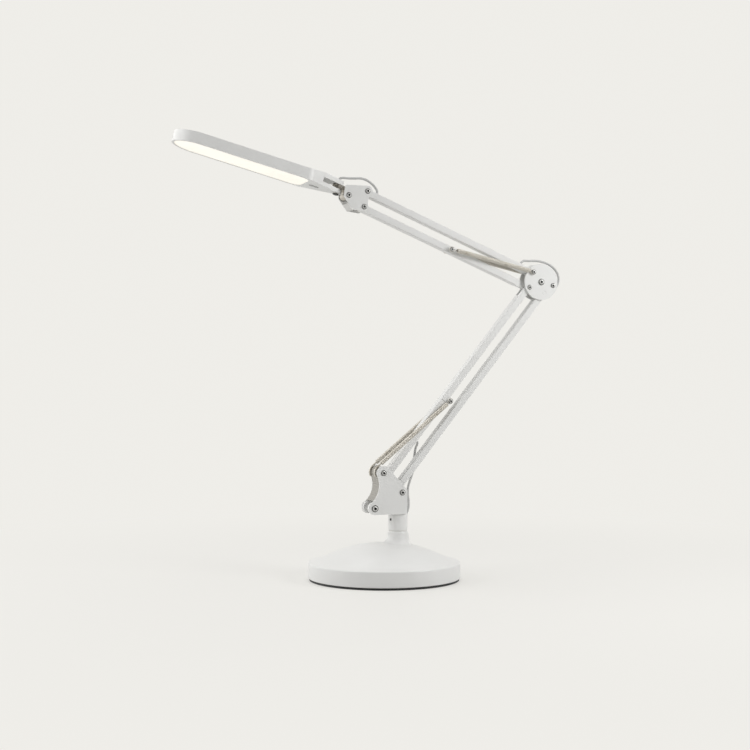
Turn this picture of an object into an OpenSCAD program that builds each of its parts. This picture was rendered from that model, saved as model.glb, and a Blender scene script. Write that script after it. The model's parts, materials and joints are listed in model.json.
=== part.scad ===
// Folding LED desk lamp with two spring-balanced parallelogram arms.
// X runs from the lamp head towards the elbow, Y across the lamp (front is -Y), Z up.
// The origin is the centre of the base, on the surface that it stands on.

/* [Base] */
// Diameter of the round base
base_d = 200; // [180:1:240]
// Height of the upright wall of the base cover, above the foot ring
base_wall_h = 21; // [17:0.5:28]
// Rise of the domed top above the upright wall
dome_rise = 23.8; // [16:0.1:28]
// Wall thickness of the base cover
cover_t = 2.4; // [1.6:0.1:3]
// Thickness of the rubber foot ring
foot_t = 3; // [2:0.1:4]
// Width of the rubber foot ring
foot_w = 13; // [8:0.5:20]
// Thickness of the steel bottom plate
plate_t = 1.6; // [1:0.1:2.5]
// Thickness of the cast ballast
ballast_t = 15; // [8:0.5:17]
// Distance of the post from the centre of the base
neck_x = 19.2; // [0:0.1:28]
// Bore of the mains cord gland
gland_bore_d = 5.2; // [4:0.1:6.5]

/* [Post] */
// Diameter of the neck and the post
post_d = 25.5; // [22:0.5:30]
// Height of the fixed neck above the dome
neck_h = 15.6; // [14:0.2:22]
// Height of the swivelling post, up to the bracket
post_h = 21.5; // [18:0.5:30]
// Diameter of the spigot that turns in the neck
spigot_d = 14; // [12:0.5:16]

/* [Sheet metal] */
// Thickness of the bracket and knuckle sheet
sheet_t = 2.2; // [1.6:0.1:2.6]
// Thickness of the elbow discs
disc_t = 2.5; // [1.8:0.1:3]
// Diameter of the elbow discs
disc_d = 49; // [48:0.5:56]
// Overall depth of the base bracket
bracket_depth = 31; // [31:0.5:36]
// Overall depth of the head knuckle
knuckle_depth = 27; // [24:0.5:31]

/* [Arms] */
// Width of the arm bars, seen from the side
bar_w = 9.2; // [8.4:0.1:9.6]
// Depth of the arm bars, across the lamp
bar_d = 13; // [11:0.5:13.5]
// Wall of the arm bars
bar_wall = 1.2; // [0.8:0.1:1.6]
// Distance between the pivots of the lower arm
lower_len = 334; // [280:1:380]
// Distance between the pivots of the upper arm
upper_len = 258; // [220:1:300]
// Lean of the lower arm, from the horizontal
lower_angle = 51; // [44:1:58]
// Direction of the upper arm, from the elbow to the head
upper_angle = 157.3; // [152:0.1:162]
// Length of the fork and the tongue that share a pivot
fork_len = 20; // [17:0.5:24]
// Diameter of the pivot pins
pin_d = 5; // [4:0.1:5.4]

/* [Springs] */
// Outer diameter of the springs
spring_d = 6; // [5:0.1:6.2]
// Wire of the springs
wire_d = 1.2; // [0.9:0.1:1.4]
// Distance along the lower arm from its bottom pivot to the spring pin
lower_pin_at = 141.5; // [120:1:160]
// Distance along the upper arm from the elbow to the spring pin
upper_pin_at = 124; // [105:1:140]

/* [Head] */
// Distance from the swivel pin to the tip of the head
head_len = 222; // [190:1:250]
// Width of the head
head_w = 64; // [58:1:76]
// Thickness of the head at its rim
head_t = 14.4; // [13:0.2:18]
// Wall of the head shell
shell_t = 2.4; // [1.6:0.1:3]
// Width of the rim round the diffuser
rim_w = 3.2; // [2.6:0.1:5]
// Pitch of the head, tip upwards
head_pitch = 14.8; // [8:0.1:22]
// Height of the swivel slot in the neck of the head
slot_h = 6.3; // [5.5:0.1:7]
// Length of the push button
button_l = 13; // [9:0.5:16]
// Width of the push button
button_w = 6; // [5:0.5:8]
// Travel of the push button
button_travel = 0.6; // [0.4:0.1:1]

/* [Leads] */
// Diameter of the lead that runs along the arms
lead_d = 3.2; // [2.4:0.1:3.6]

/* [Hidden] */

$fn = 64;
eps = 0.01;

// Fits
run_fit = 0.05;      // radial clearance of a pin that turns in a bore
gap = 0.3;           // clearance between pieces that move past each other
face_gap = 0.1;      // clearance beside a washer

// Colours
white = [0.90, 0.90, 0.88];
steel = [0.55, 0.55, 0.56];
nickel = [0.72, 0.70, 0.66];
black = [0.06, 0.06, 0.06];
iron = [0.25, 0.25, 0.26];
cream = [0.86, 0.82, 0.74];
grey = [0.72, 0.72, 0.71];
nylon = [0.88, 0.87, 0.82];
warm_white = [1.0, 0.93, 0.80];

// A direction in the plane of the lamp, as [x, z]
function polar(r, a) = [r * cos(a), r * sin(a)];
function angle_of(v) = atan2(v[1], v[0]);

// Centre of the circle of radius r that touches two circles from outside, on the left of a -> b
function fillet_centre(a, ra, b, rb, r) =
    let (
        d = norm(b - a),
        u = (b - a) / d,
        along = ((ra + r) * (ra + r) - (rb + r) * (rb + r) + d * d) / (2 * d),
        side = sqrt((ra + r) * (ra + r) - along * along)
    )
    a + along * u + side * [-u[1], u[0]];

// ---- Heights of the base and the post
base_r = base_d / 2;
wall_top_z = foot_t + base_wall_h;
dome_top_z = wall_top_z + dome_rise;
neck_r = post_d / 2;
neck_top_z = dome_top_z + neck_h;
washer_t = 1;
post_bottom_z = neck_top_z + washer_t;
post_top_z = post_bottom_z + post_h;
spigot_r = spigot_d / 2;
bush_wall = 2;
spigot_end_z = wall_top_z + 6;
bush_low_z = spigot_end_z + 9;
nut_washer_t = 1.6;
nut_h = 6;
nut_af_r = 10.4;
rim_chamfer = 2.2;
plate_z = foot_t;
ballast_z = plate_z + plate_t;
ballast_r = base_r - cover_t - 4;
screw_circle_r = base_r - foot_w - 12;
gland_z = foot_t + base_wall_h / 2;
gland_d = gland_bore_d + 5;
gland_flange = 1.6;
dome_power = 2.6;
dome_shoulder = 1.7;
collar_r = neck_r + 1.2;
collar_foot_r = neck_r + 1.9;
neck_fillet = 9;

// ---- Base bracket, measured from the top centre of the post
post_top = [neck_x, post_top_z];
lobe_top = post_top + [-25.2, 54.9];       // upper lobe, where the springs are anchored
lobe_post = post_top + [0.7, 29];        // lobe screwed to the fork of the post
lobe_back = post_top + [-37.3, 8.9];     // lower back lobe
pivot_main = post_top + [-23.5, 42.5];   // lower pivot of the main bar
link_offset = [22.3, -7.4];              // from each main pivot to the link pivot beside it
pivot_link = pivot_main + link_offset;
lobe_top_r = 9.2;
lobe_post_r = 7.2;
lobe_back_r = 8.3;
bracket_corner = post_top + [5.2, 2.5];
bracket_corner_r = 2;
web_fillet_r = 30;
web_centre = fillet_centre(lobe_back, lobe_back_r, lobe_top, lobe_top_r, web_fillet_r);
web_top_angle = 125;
bracket_in = bracket_depth / 2 - sheet_t;

// ---- Arms
pin_r = pin_d / 2;
bore_r = pin_r + run_fit;
bar_end_r = bar_w / 2;
elbow_main = pivot_main + polar(lower_len, lower_angle);
elbow_link = elbow_main + link_offset;
upper_offset = [4.8, 20.6];              // from the shared elbow pivot to the upper main pivot
elbow_upper = elbow_main + upper_offset;
head_main = elbow_upper + polar(upper_len, upper_angle);
head_link = head_main - upper_offset;
disc_centre = elbow_main + [17.4, 7.5];
disc_tie = disc_centre + [17.6, -4.6];
disc_in = bar_d / 2 + 0.5;
disc_out = disc_in + disc_t;
plug_len = 14;
eye_len = 9;
tongue_t = bar_d - 2 * 3.3 - 2 * face_gap;
fork_gap = tongue_t + 2 * face_gap;

// ---- Fasteners
head_r = 4;
head_h = 2;
socket_r = 1.5;
socket_depth = 1.2;
big_head_r = 4.7;
small_head_r = 3.5;
spring_eye_r = pin_r + 0.15 + wire_d / 2;

// ---- Springs
spring_r = spring_d / 2;
lower_spring_y = (bar_d / 2 + bracket_in) / 2;
upper_spring_y = disc_out + 0.3 + spring_r;
upper_eye_y = disc_out + 1.6 + wire_d / 2;
spring_pin_d = 4;
saddle_t = 1;
lower_pin_off = -(bar_w / 2 + spring_pin_d / 2 + 0.1);
lower_pin = pivot_main + polar(lower_pin_at, lower_angle) + polar(-lower_pin_off, lower_angle - 90);
upper_pin = elbow_main + polar(upper_pin_at, upper_angle);
spring_end_r = 1.3;
wrap_r = lobe_top_r + spring_end_r + 0.2;
// Where the straight run of a lower spring touches its wrap round the upper lobe
lower_run = norm(lower_pin - lobe_top);
wrap_start = angle_of(lower_pin - lobe_top) + acos(wrap_r / lower_run);
wrap_end = 208;
hook_angle = wrap_end - 12;
wrap_point = lobe_top + polar(wrap_r, wrap_start);

// ---- Knuckle, measured from the main pivot at the head end
knuckle_tilt = head_main + [-25.7, -6.3];
knuckle_top = head_main + [-27.5, 3.6];
knuckle_low = head_main + [-18.7, -21.2];
tilt_lobe_r = 6.3;
main_lobe_r = 6.8;
link_lobe_r = 5.8;
corner_lobe_r = 3.5;
knuckle_in = knuckle_depth / 2 - sheet_t;
knuckle_fillet_r = 14;

// ---- Head, with its own x towards the hinge and z out of its top
swivel_at = knuckle_tilt + [-11.9, 10.2];
head_half = head_w / 2;
top_z = head_t / 2;
neck_top_rise = 3;
neck_top = top_z + neck_top_rise;
head_end_r = 7;
slot_z = -2;
slot_len = 26;
tilt_x = (knuckle_tilt - swivel_at) * [cos(head_pitch), -sin(head_pitch)];
tilt_z = (knuckle_tilt - swivel_at) * [sin(head_pitch), cos(head_pitch)];
tongue_gap = 0.3;
tongue_z = slot_z + tongue_gap;
tongue_h = slot_h - 2 * tongue_gap;
tongue_r = 6.8;
barrel_r = 5.5;
tilt_washer_t = 0.8;
barrel_half = knuckle_in - tilt_washer_t - face_gap;
swivel_pin_r = 2.5;
cap_r = 4.2;
cap_h = 1.6;
shoulder_x = -49.5;
shoulder_r = 18;
panel_end_x = -44;
panel_corner_r = 12;
tip_x = -head_len + head_half;
diffuser_t = 2;
diffuser_recess = 0.5;
guide_t = 3;
board_t = 1.6;
button_x = -31;
button_proud = 0.8;
button_h = 3;

// ---------------------------------------------------------------- helpers

// Draws in the plane of the lamp: x stays x, y becomes height and z comes to the front
module in_plane() {
    rotate([90, 0, 0]) children();
}

// A solid drawn in the plane of the lamp between two depths, counted to the front
module slab(from, to) {
    in_plane() translate([0, 0, from]) linear_extrude(to - from) children();
}

// The same solid on the front and on the rear
module both_sides(from, to) {
    slab(from, to) children();
    slab(-to, -from) children();
}

module disc(c, r) {
    translate(c) circle(r);
}

// A rod across the lamp
module rod(c, r, from, to) {
    in_plane() translate([c[0], c[1], from]) cylinder(r = r, h = to - from);
}

// The two straight flanks between two circles
module flanks(a, ra, b, rb) {
    u = angle_of(b - a);
    phi = acos((ra - rb) / norm(b - a));
    in = 0.02;
    polygon([a + polar(ra - in, u + phi), b + polar(rb - in, u + phi),
             b + polar(rb - in, u - phi), a + polar(ra - in, u - phi)]);
}

// A closed outline round lobes, each [centre, radius], in order
module lobed(lobes) {
    n = len(lobes);
    for (i = [0 : n - 1]) {
        disc(lobes[i][0], lobes[i][1]);
        flanks(lobes[i][0], lobes[i][1], lobes[(i + 1) % n][0], lobes[(i + 1) % n][1]);
    }
    if (n > 2) polygon([for (l = lobes) l[0]]);
}

// A piece of a ring between two angles
module arc_band(c, r_in, r_out, from, to) {
    translate(c) intersection() {
        difference() {
            circle(r_out);
            circle(r_in);
        }
        polygon([[0, 0], for (i = [0 : 4]) polar(2 * r_out, from + (to - from) * i / 4)]);
    }
}

module round_rect(w, h, r) {
    square([w - 2 * r, h], center = true);
    square([w, h - 2 * r], center = true);
    for (x = [-1, 1], y = [-1, 1]) translate([x * (w / 2 - r), y * (h / 2 - r)]) circle(r, $fn = 24);
}

// A button head with a hexagon socket, on the front face at the given depth
module bolt_head(c, y, r = head_r, h = head_h) {
    in_plane() translate([c[0], c[1], y]) difference() {
        union() {
            cylinder(r = r, h = h * 0.5);
            translate([0, 0, h * 0.5]) cylinder(r1 = r, r2 = r * 0.72, h = h * 0.5);
        }
        translate([0, 0, h - socket_depth]) cylinder(r = socket_r, h = socket_depth + eps, $fn = 6);
    }
}

// A bolt right through, with a head on the front and one on the rear
module through_bolt(c, shaft, y, r = head_r, h = head_h) {
    rod(c, shaft, -y - eps, y + eps);
    bolt_head(c, y, r, h);
    rotate([0, 0, 180]) bolt_head([-c[0], c[1]], y, r, h);
}

// A short screw in each cheek
module cheek_screws(c, shaft, from, y, r = head_r, h = head_h) {
    for (side = [0, 180]) rotate([0, 0, side]) {
        x = side == 0 ? c[0] : -c[0];
        rod([x, c[1]], shaft, from, y + eps);
        bolt_head([x, c[1]], y, r, h);
    }
}

module washer(c, r, hole, from, to) {
    both_sides(from, to) difference() {
        disc(c, r);
        disc(c, hole);
    }
}

// Works along a bar: x runs from pivot a, y to its left and z to the front
module along(a, angle) {
    in_plane() translate(a) rotate(angle) children();
}

// A rectangular tube along x
module tube(from, to) {
    translate([from, 0, 0]) rotate([90, 0, 90]) difference() {
        linear_extrude(to - from) round_rect(bar_w, bar_d, 1.2);
        translate([0, 0, -1]) linear_extrude(to - from + 2)
            square([bar_w - 2 * bar_wall, bar_d - 2 * bar_wall], center = true);
    }
}

// A plug in the end of a tube, with an eye of the bar's width round the pivot at x = 0
module end_plug(reach, inner_gap = 0, eye_t = bar_d) {
    fit = 0.1;
    translate([reach, -bar_w / 2 + bar_wall + fit, -bar_d / 2 + bar_wall + fit])
        cube([plug_len, bar_w - 2 * bar_wall - 2 * fit, bar_d - 2 * bar_wall - 2 * fit]);
    difference() {
        translate([0, 0, -eye_t / 2]) linear_extrude(eye_t) {
            circle(bar_end_r);
            translate([0, -bar_end_r]) square([reach, bar_w]);
        }
        translate([0, 0, -bar_d]) cylinder(r = bore_r, h = 2 * bar_d);
        if (inner_gap > 0)
            translate([-bar_w, -bar_w, -inner_gap / 2]) cube([bar_w + reach - 3, 2 * bar_w, inner_gap]);
    }
    if (eye_t < bar_d)
        translate([reach - 3, -bar_end_r, -bar_d / 2]) cube([3, bar_w, bar_d]);
}

// Cross-section rings for a tube swept along points
function unit(v) = v / norm(v);
function tangent(p, i) =
    unit(p[min(i + 1, len(p) - 1)] - p[max(i - 1, 0)]);
function side_of(t) = unit(cross(t, abs(t[1]) < 0.9 ? [0, 1, 0] : [1, 0, 0]));
// Catmull-Rom point between p[i] and p[i + 1]
function smooth_at(p, i, t) =
    let (
        a = p[max(i - 1, 0)], b = p[i], c = p[i + 1], d = p[min(i + 2, len(p) - 1)]
    )
    0.5 * (2 * b + (c - a) * t + (2 * a - 5 * b + 4 * c - d) * t * t + (3 * b - a - 3 * c + d) * t * t * t);
function smooth_path(p, steps) = [
    for (i = [0 : len(p) - 2], s = [0 : steps - 1]) smooth_at(p, i, s / steps),
    p[len(p) - 1]
];

module lead(points, first = [0, 0, 0], last = [0, 0, 0]) {
    r = lead_d / 2;
    sides = 8;
    path = smooth_path(points, 2);
    n = len(path);
    function heading(i) =
        i == 0 && norm(first) > 0 ? unit(first) : i == n - 1 && norm(last) > 0 ? unit(last) : tangent(path, i);
    rings = [
        for (i = [0 : n - 1], k = [0 : sides - 1])
            let (t = heading(i), u = side_of(t), w = cross(t, u))
            path[i] + r * (cos(k * 360 / sides) * u + sin(k * 360 / sides) * w)
    ];
    faces = concat(
        [[for (k = [sides - 1 : -1 : 0]) k]],
        [[for (k = [0 : sides - 1]) (n - 1) * sides + k]],
        [for (i = [0 : n - 2], k = [0 : sides - 1])
            [i * sides + k, i * sides + (k + 1) % sides, (i + 1) * sides + (k + 1) % sides, (i + 1) * sides + k]]
    );
    polyhedron(rings, faces);
}

// ---------------------------------------------------------------- base

function dome_z(r) = wall_top_z + dome_rise * pow(1 - pow(r / base_r, dome_power), dome_shoulder);
dome_steps = 22;
function dome_curve(drop, r_max) = [for (i = [0 : dome_steps]) let (r = r_max * i / dome_steps) [r, dome_z(r) - drop]];

// The neck, and the flare that runs out of it into the dome and leans with the slope there
flare_r = collar_foot_r + 0.25 + neck_fillet;
flare_high = dome_z(abs(neck_x - flare_r));
flare_low = dome_z(neck_x + flare_r);
neck_lean = atan2(flare_high - flare_low, 2 * flare_r);
neck_arc_z = (flare_high + flare_low) / 2 - 0.3 + neck_fillet;
module neck_outline() {
    top = neck_top_z;
    polygon([[0, neck_arc_z - 3], [collar_foot_r, neck_arc_z - 3], [collar_foot_r, neck_arc_z], [collar_r, top - 3.6],
             [collar_r - 0.5, top - 3.2], [collar_r, top - 2.8], [neck_r, top - 0.6], [neck_r - 0.6, top], [0, top]]);
}

module flare_outline() {
    foot = collar_foot_r + 0.25;
    polygon(concat(
        [[0, -neck_fillet - 1.6], [foot + neck_fillet, -neck_fillet - 1.6]],
        [for (a = [270 : -9 : 180]) [foot + neck_fillet + neck_fillet * cos(a), neck_fillet * sin(a)]],
        [[foot, 0.6], [0, 0.6]]
    ));
}

module base_cover() {
    color(white) difference() {
        union() {
            rotate_extrude($fn = 128) difference() {
                polygon(concat(
                    [[0, foot_t]],
                    [[base_r - 0.8, foot_t], [base_r, foot_t + 0.8], [base_r, wall_top_z - rim_chamfer]],
                    [for (a = [0 : 15 : 75])
                        [base_r - rim_chamfer + rim_chamfer * cos(a), wall_top_z - rim_chamfer + rim_chamfer * sin(a)]],
                    [for (i = [dome_steps - 1 : -1 : 0])
                        let (r = base_r * i / dome_steps) [r, dome_z(r)]]
                ));
                polygon(concat(
                    [[0, foot_t - 1], [base_r - cover_t, foot_t - 1]],
                    [for (i = [dome_steps - 1 : -1 : 0])
                        let (r = (base_r - cover_t) * i / (dome_steps - 1)) [r, dome_z(r) - cover_t]]
                ));
            }
            translate([neck_x, 0, 0]) rotate_extrude() neck_outline();
            translate([neck_x, 0, neck_arc_z]) rotate([0, neck_lean, 0]) rotate_extrude() flare_outline();
            translate([neck_x, 0, bush_low_z]) cylinder(r = spigot_r + bush_wall + 3, h = dome_top_z - bush_low_z - cover_t / 2);
        }
        translate([neck_x, 0, 0]) cylinder(r = spigot_r + bush_wall, h = neck_top_z + 1);
        translate([0, base_r + 5, gland_z]) rotate([90, 0, 0]) cylinder(r = gland_d / 2, h = 20);
    }
}

module base_ballast() {
    color(iron) difference() {
        translate([0, 0, ballast_z]) cylinder(r = ballast_r, h = ballast_t, $fn = 96);
        translate([neck_x, 0, 0]) cylinder(r = nut_af_r + 6, h = dome_top_z);
        for (a = [45 : 90 : 315])
            translate([screw_circle_r * cos(a), screw_circle_r * sin(a), 0]) cylinder(r = 2, h = ballast_z + 9, $fn = 24);
        translate([0, ballast_r, gland_z]) cube([26, 24, ballast_t * 3], center = true);
    }
}

module bottom_plate() {
    color(steel) difference() {
        translate([0, 0, plate_z]) cylinder(r = base_r - cover_t - 0.2, h = plate_t, $fn = 96);
        for (a = [45 : 90 : 315])
            translate([screw_circle_r * cos(a), screw_circle_r * sin(a), 0]) cylinder(r = 2.2, h = 20, $fn = 24);
    }
}

module foot_ring() {
    color(black) difference() {
        cylinder(r = base_r - 1.5, h = foot_t, $fn = 96);
        translate([0, 0, -1]) cylinder(r = base_r - 1.5 - foot_w, h = foot_t + 2, $fn = 96);
    }
}

module bottom_screws() {
    screw_head_h = 1.5;
    color(steel) for (a = [45 : 90 : 315]) translate([screw_circle_r * cos(a), screw_circle_r * sin(a), 0]) {
        translate([0, 0, plate_z - screw_head_h]) difference() {
            cylinder(r = 3.4, h = screw_head_h, $fn = 24);
            translate([0, 0, -0.2]) cylinder(r = 1.2, h = 1, $fn = 6);
        }
        translate([0, 0, plate_z - eps]) cylinder(r = 1.9, h = plate_t + 8, $fn = 24);
    }
}

module cord_gland() {
    color(black) translate([0, base_r, gland_z]) rotate([90, 0, 0]) difference() {
        union() {
            translate([0, 0, -gland_flange]) cylinder(r = gland_d / 2 + 1.8, h = gland_flange);
            translate([0, 0, -eps]) cylinder(r = gland_d / 2 - 0.02, h = cover_t + 5);
        }
        translate([0, 0, -10]) cylinder(r = gland_bore_d / 2, h = 30);
    }
}

// ---------------------------------------------------------------- post

module neck_bush() {
    color(nylon) translate([neck_x, 0, bush_low_z]) difference() {
        cylinder(r = spigot_r + bush_wall, h = neck_top_z - bush_low_z);
        translate([0, 0, -1]) cylinder(r = spigot_r, h = neck_top_z);
    }
}

module swivel_washer() {
    color(nylon) translate([neck_x, 0, neck_top_z]) difference() {
        cylinder(r = neck_r - 0.9, h = washer_t);
        translate([0, 0, -1]) cylinder(r = spigot_r, h = washer_t + 2);
    }
}

fork_lug_in = bar_d / 2 + 0.2;
fork_lug_r = bar_end_r - 0.2;
module fork_lug_outline() {
    lobed([[pivot_link, fork_lug_r], [lobe_post, lobe_post_r - 1],
           [post_top + [5.3, 1], 1.5], [post_top + [-9.2, 1], 1.5]]);
}

lead_hole_angle = 58;
lead_hole_z = post_top_z - 8;
wire_bore_r = 3;
grub_angle = 200;
grub_z = post_top_z - 7;
module turret_post() {
    color(white) difference() {
        union() {
            translate([neck_x, 0, post_bottom_z]) {
                cylinder(r1 = neck_r - 0.6, r2 = neck_r, h = 0.6);
                translate([0, 0, 0.6]) cylinder(r = neck_r, h = post_h - 1.2);
                translate([0, 0, post_h - 0.6]) cylinder(r1 = neck_r, r2 = neck_r - 0.6, h = 0.6);
            }
            translate([neck_x, 0, spigot_end_z]) cylinder(r = spigot_r - run_fit, h = post_bottom_z - spigot_end_z + 1);
            intersection() {
                both_sides(fork_lug_in, bracket_in) fork_lug_outline();
                translate([0, 0, post_top_z - 1]) cylinder(r = 400, h = 400);
            }
            intersection() {
                slab(-bracket_in, bracket_in) translate(post_top + [-9.2, -1]) square([14.5, 2.4]);
                translate([neck_x, 0, 0]) cylinder(r = neck_r - 0.7, h = 400);
            }
        }
        translate([neck_x, 0, 0]) cylinder(r = wire_bore_r, h = lead_hole_z + 2);
        translate([neck_x, 0, lead_hole_z]) rotate([0, 90, lead_hole_angle]) cylinder(r = lead_d / 2 + 1, h = 40);
        translate([neck_x, 0, grub_z]) rotate([0, 90, grub_angle]) translate([0, 0, neck_r - 7]) cylinder(r = 1.9, h = 20);
        rod(pivot_link, pin_r, -40, 40);
        for (side = [-1, 1])
            rod(lobe_post, 2, side > 0 ? bracket_in - 5 : -bracket_in - 1, side > 0 ? bracket_in + 1 : -bracket_in + 5);
    }
}

module swivel_nut() {
    color(steel) translate([neck_x, 0, 0]) difference() {
        union() {
            translate([0, 0, bush_low_z - nut_washer_t]) cylinder(r = spigot_r + bush_wall + 2, h = nut_washer_t - face_gap);
            translate([0, 0, bush_low_z - nut_washer_t - nut_h]) cylinder(r = nut_af_r, h = nut_h, $fn = 6);
        }
        cylinder(r = spigot_r - run_fit + 0.02, h = neck_top_z);
    }
}

module grub_screw() {
    color(steel) translate([neck_x, 0, grub_z]) rotate([0, 90, grub_angle]) difference() {
        translate([0, 0, neck_r - 6.5]) cylinder(r = 1.88, h = 6, $fn = 32);
        translate([0, 0, neck_r - 2.5]) cylinder(r = 1.0, h = 6, $fn = 6);
    }
}

module post_grommet() {
    color(black) translate([neck_x, 0, lead_hole_z]) rotate([0, 90, lead_hole_angle]) difference() {
        translate([0, 0, neck_r - 4]) cylinder(r = lead_d / 2 + 0.98, h = 5);
        cylinder(r = lead_d / 2 + 0.1, h = 60);
    }
}

// ---------------------------------------------------------------- base bracket

module cheek_outline() {
    difference() {
        lobed([[lobe_back, lobe_back_r], [lobe_top, lobe_top_r], [lobe_post, lobe_post_r],
               [bracket_corner, bracket_corner_r]]);
        disc(web_centre, web_fillet_r);
    }
}

web_hole_r = 1.2;
module base_bracket() {
    to_top = angle_of(lobe_top - web_centre);
    to_back = angle_of(lobe_back - web_centre);
    color(white) difference() {
        union() {
            both_sides(bracket_in, bracket_depth / 2) cheek_outline();
            slab(-bracket_in - eps, bracket_in + eps) {
                arc_band(lobe_top, lobe_top_r - sheet_t, lobe_top_r, web_top_angle, to_top + 180.5);
                arc_band(web_centre, web_fillet_r, web_fillet_r + sheet_t, to_back + 9, to_top);
            }
        }
        rod(pivot_main, pin_r, -40, 40);
        rod(pivot_link, pin_r, -40, 40);
        rod(lobe_back, pin_r, -40, 40);
        for (c = [lobe_top, lobe_post]) rod(c, 2, -40, 40);
        for (y = [-1, 1]) in_plane() translate([lobe_top[0], lobe_top[1], y * lower_spring_y])
            rotate([0, 90, hook_angle]) cylinder(r = web_hole_r, h = lobe_top_r + 4, $fn = 24);
    }
}

module bracket_bolts() {
    y = bracket_depth / 2;
    color(steel) {
        cheek_screws(lobe_top, 1.98, bracket_in - 5, y);
        cheek_screws(lobe_post, 1.98, bracket_in - 4.9, y);
        through_bolt(lobe_back, pin_r - 0.02, y, big_head_r, head_h);
    }
}

module bracket_pins() {
    color(white) for (c = [pivot_main, pivot_link]) rod(c, pin_r - 0.01, -bracket_depth / 2, bracket_depth / 2);
}

back_spacer_t = 5.2;
module bracket_spacers() {
    color(white) {
        washer(lobe_back, lobe_back_r - 0.4, pin_r, bracket_in - back_spacer_t, bracket_in);
        washer(pivot_main, 4, pin_r, bar_d / 2 + face_gap, bracket_in);
        washer(lobe_top, 4.2, 2, bracket_in - 5, bracket_in);
    }
}

// ---------------------------------------------------------------- lower arm

lower_lead_at = 72;
lower_exit_at = lower_len - 42;
lead_wall_r = lead_d / 2 + 0.9;

module lower_main_bar() {
    color(white) along(pivot_main, lower_angle) difference() {
        tube(eye_len, lower_len - fork_len);
        translate([lower_lead_at, 0, 0]) rotate([90, 0, 0]) cylinder(r = lead_wall_r, h = bar_w, $fn = 32);
        translate([lower_exit_at, 0, 0]) rotate([0, 180, 0]) cylinder(r = lead_wall_r, h = bar_d, $fn = 32);
    }
}

module lower_main_ends() {
    color(white) {
        along(pivot_main, lower_angle) end_plug(eye_len);
        along(elbow_main, lower_angle + 180) end_plug(fork_len, fork_gap);
    }
}

saddle_len = 9;
module lower_spring_saddle() {
    reach = -lower_pin_off + spring_pin_d / 2 + 1.4;
    color(white) along(pivot_main, lower_angle) translate([lower_pin_at, 0, 0]) difference() {
        for (side = [-1, 1]) translate([0, 0, side > 0 ? bar_d / 2 : -bar_d / 2 - saddle_t])
            linear_extrude(saddle_t) {
                translate([-saddle_len / 2, lower_pin_off]) square([saddle_len, -lower_pin_off + bar_w / 2 - 1.5]);
                translate([0, lower_pin_off]) circle(saddle_len / 2);
            }
        translate([0, lower_pin_off, -bar_d]) cylinder(r = spring_pin_d / 2, h = 2 * bar_d);
    }
}

pin_head_h = 1.6;
module spring_pin(c, y) {
    r = spring_pin_d / 2;
    rod(c, r - 0.01, -y - eps, y + eps);
    bolt_head(c, y, small_head_r - 0.2, pin_head_h);
    rotate([0, 0, 180]) bolt_head([-c[0], c[1]], y, small_head_r - 0.2, pin_head_h);
}

module lower_spring_pin() {
    color(steel) spring_pin(lower_pin, lower_spring_y + wire_d / 2 + 0.3);
}

// A rubber ring in the wall of a bar; z points out of the wall
module wall_grommet(wall_at) {
    translate([0, 0, wall_at]) difference() {
        union() {
            translate([0, 0, -bar_wall]) cylinder(r = lead_wall_r - 0.02, h = bar_wall + 0.5, $fn = 32);
            cylinder(r = lead_wall_r + 0.9, h = 0.6, $fn = 32);
        }
        translate([0, 0, -5]) cylinder(r = lead_d / 2 + 0.1, h = 10, $fn = 32);
    }
}

module lower_bar_grommets() {
    color(black) along(pivot_main, lower_angle) {
        translate([lower_lead_at, 0, 0]) rotate([90, 0, 0]) wall_grommet(bar_w / 2);
        translate([lower_exit_at, 0, 0]) rotate([0, 180, 0]) wall_grommet(bar_d / 2);
    }
}

module lower_link_bar() {
    color(white) along(pivot_link, lower_angle) tube(eye_len, lower_len - eye_len);
}

module lower_link_ends() {
    color(white) {
        along(pivot_link, lower_angle) end_plug(eye_len);
        along(elbow_link, lower_angle + 180) end_plug(eye_len);
    }
}

// ---------------------------------------------------------------- elbow

module elbow_disc_shape() {
    difference() {
        disc(disc_centre, disc_d / 2);
        for (c = [elbow_main, elbow_link, elbow_upper, disc_tie]) disc(c, pin_r);
        disc(disc_centre, pin_r);
    }
}

module elbow_disc_front() {
    color(white) slab(disc_in, disc_out) elbow_disc_shape();
}

module elbow_disc_rear() {
    color(white) slab(-disc_out, -disc_in) elbow_disc_shape();
}

module elbow_bolts() {
    color(steel) {
        through_bolt(disc_centre, pin_r - 0.01, disc_out, big_head_r, head_h);
        for (c = [elbow_main, disc_tie]) through_bolt(c, pin_r - 0.01, disc_out, small_head_r, head_h * 0.8);
        through_bolt(elbow_upper, pin_r - 0.01, upper_eye_y + wire_d / 2 + 0.3, small_head_r, head_h * 0.8);
    }
}

module elbow_pin() {
    color(white) rod(elbow_link, pin_r - 0.01, -disc_out, disc_out);
}

module elbow_spacers() {
    color(steel) for (c = [disc_centre, disc_tie]) slab(-disc_in, disc_in) difference() {
        disc(c, pin_r + 1.4);
        disc(c, pin_r);
    }
}

module elbow_washers() {
    color(nylon) for (c = [elbow_main, elbow_link, elbow_upper])
        washer(c, bar_end_r - 0.1, pin_r, bar_d / 2 + face_gap, disc_in);
}

// ---------------------------------------------------------------- upper arm

upper_lead_at = 17;
upper_exit_at = upper_len - 16;

module upper_main_bar() {
    color(white) along(elbow_upper, upper_angle) difference() {
        tube(eye_len, upper_len - eye_len);
        for (s = [upper_lead_at, upper_exit_at])
            translate([s, 0, 0]) rotate([90, 0, 0]) cylinder(r = lead_wall_r, h = bar_w, $fn = 32);
    }
}

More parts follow.
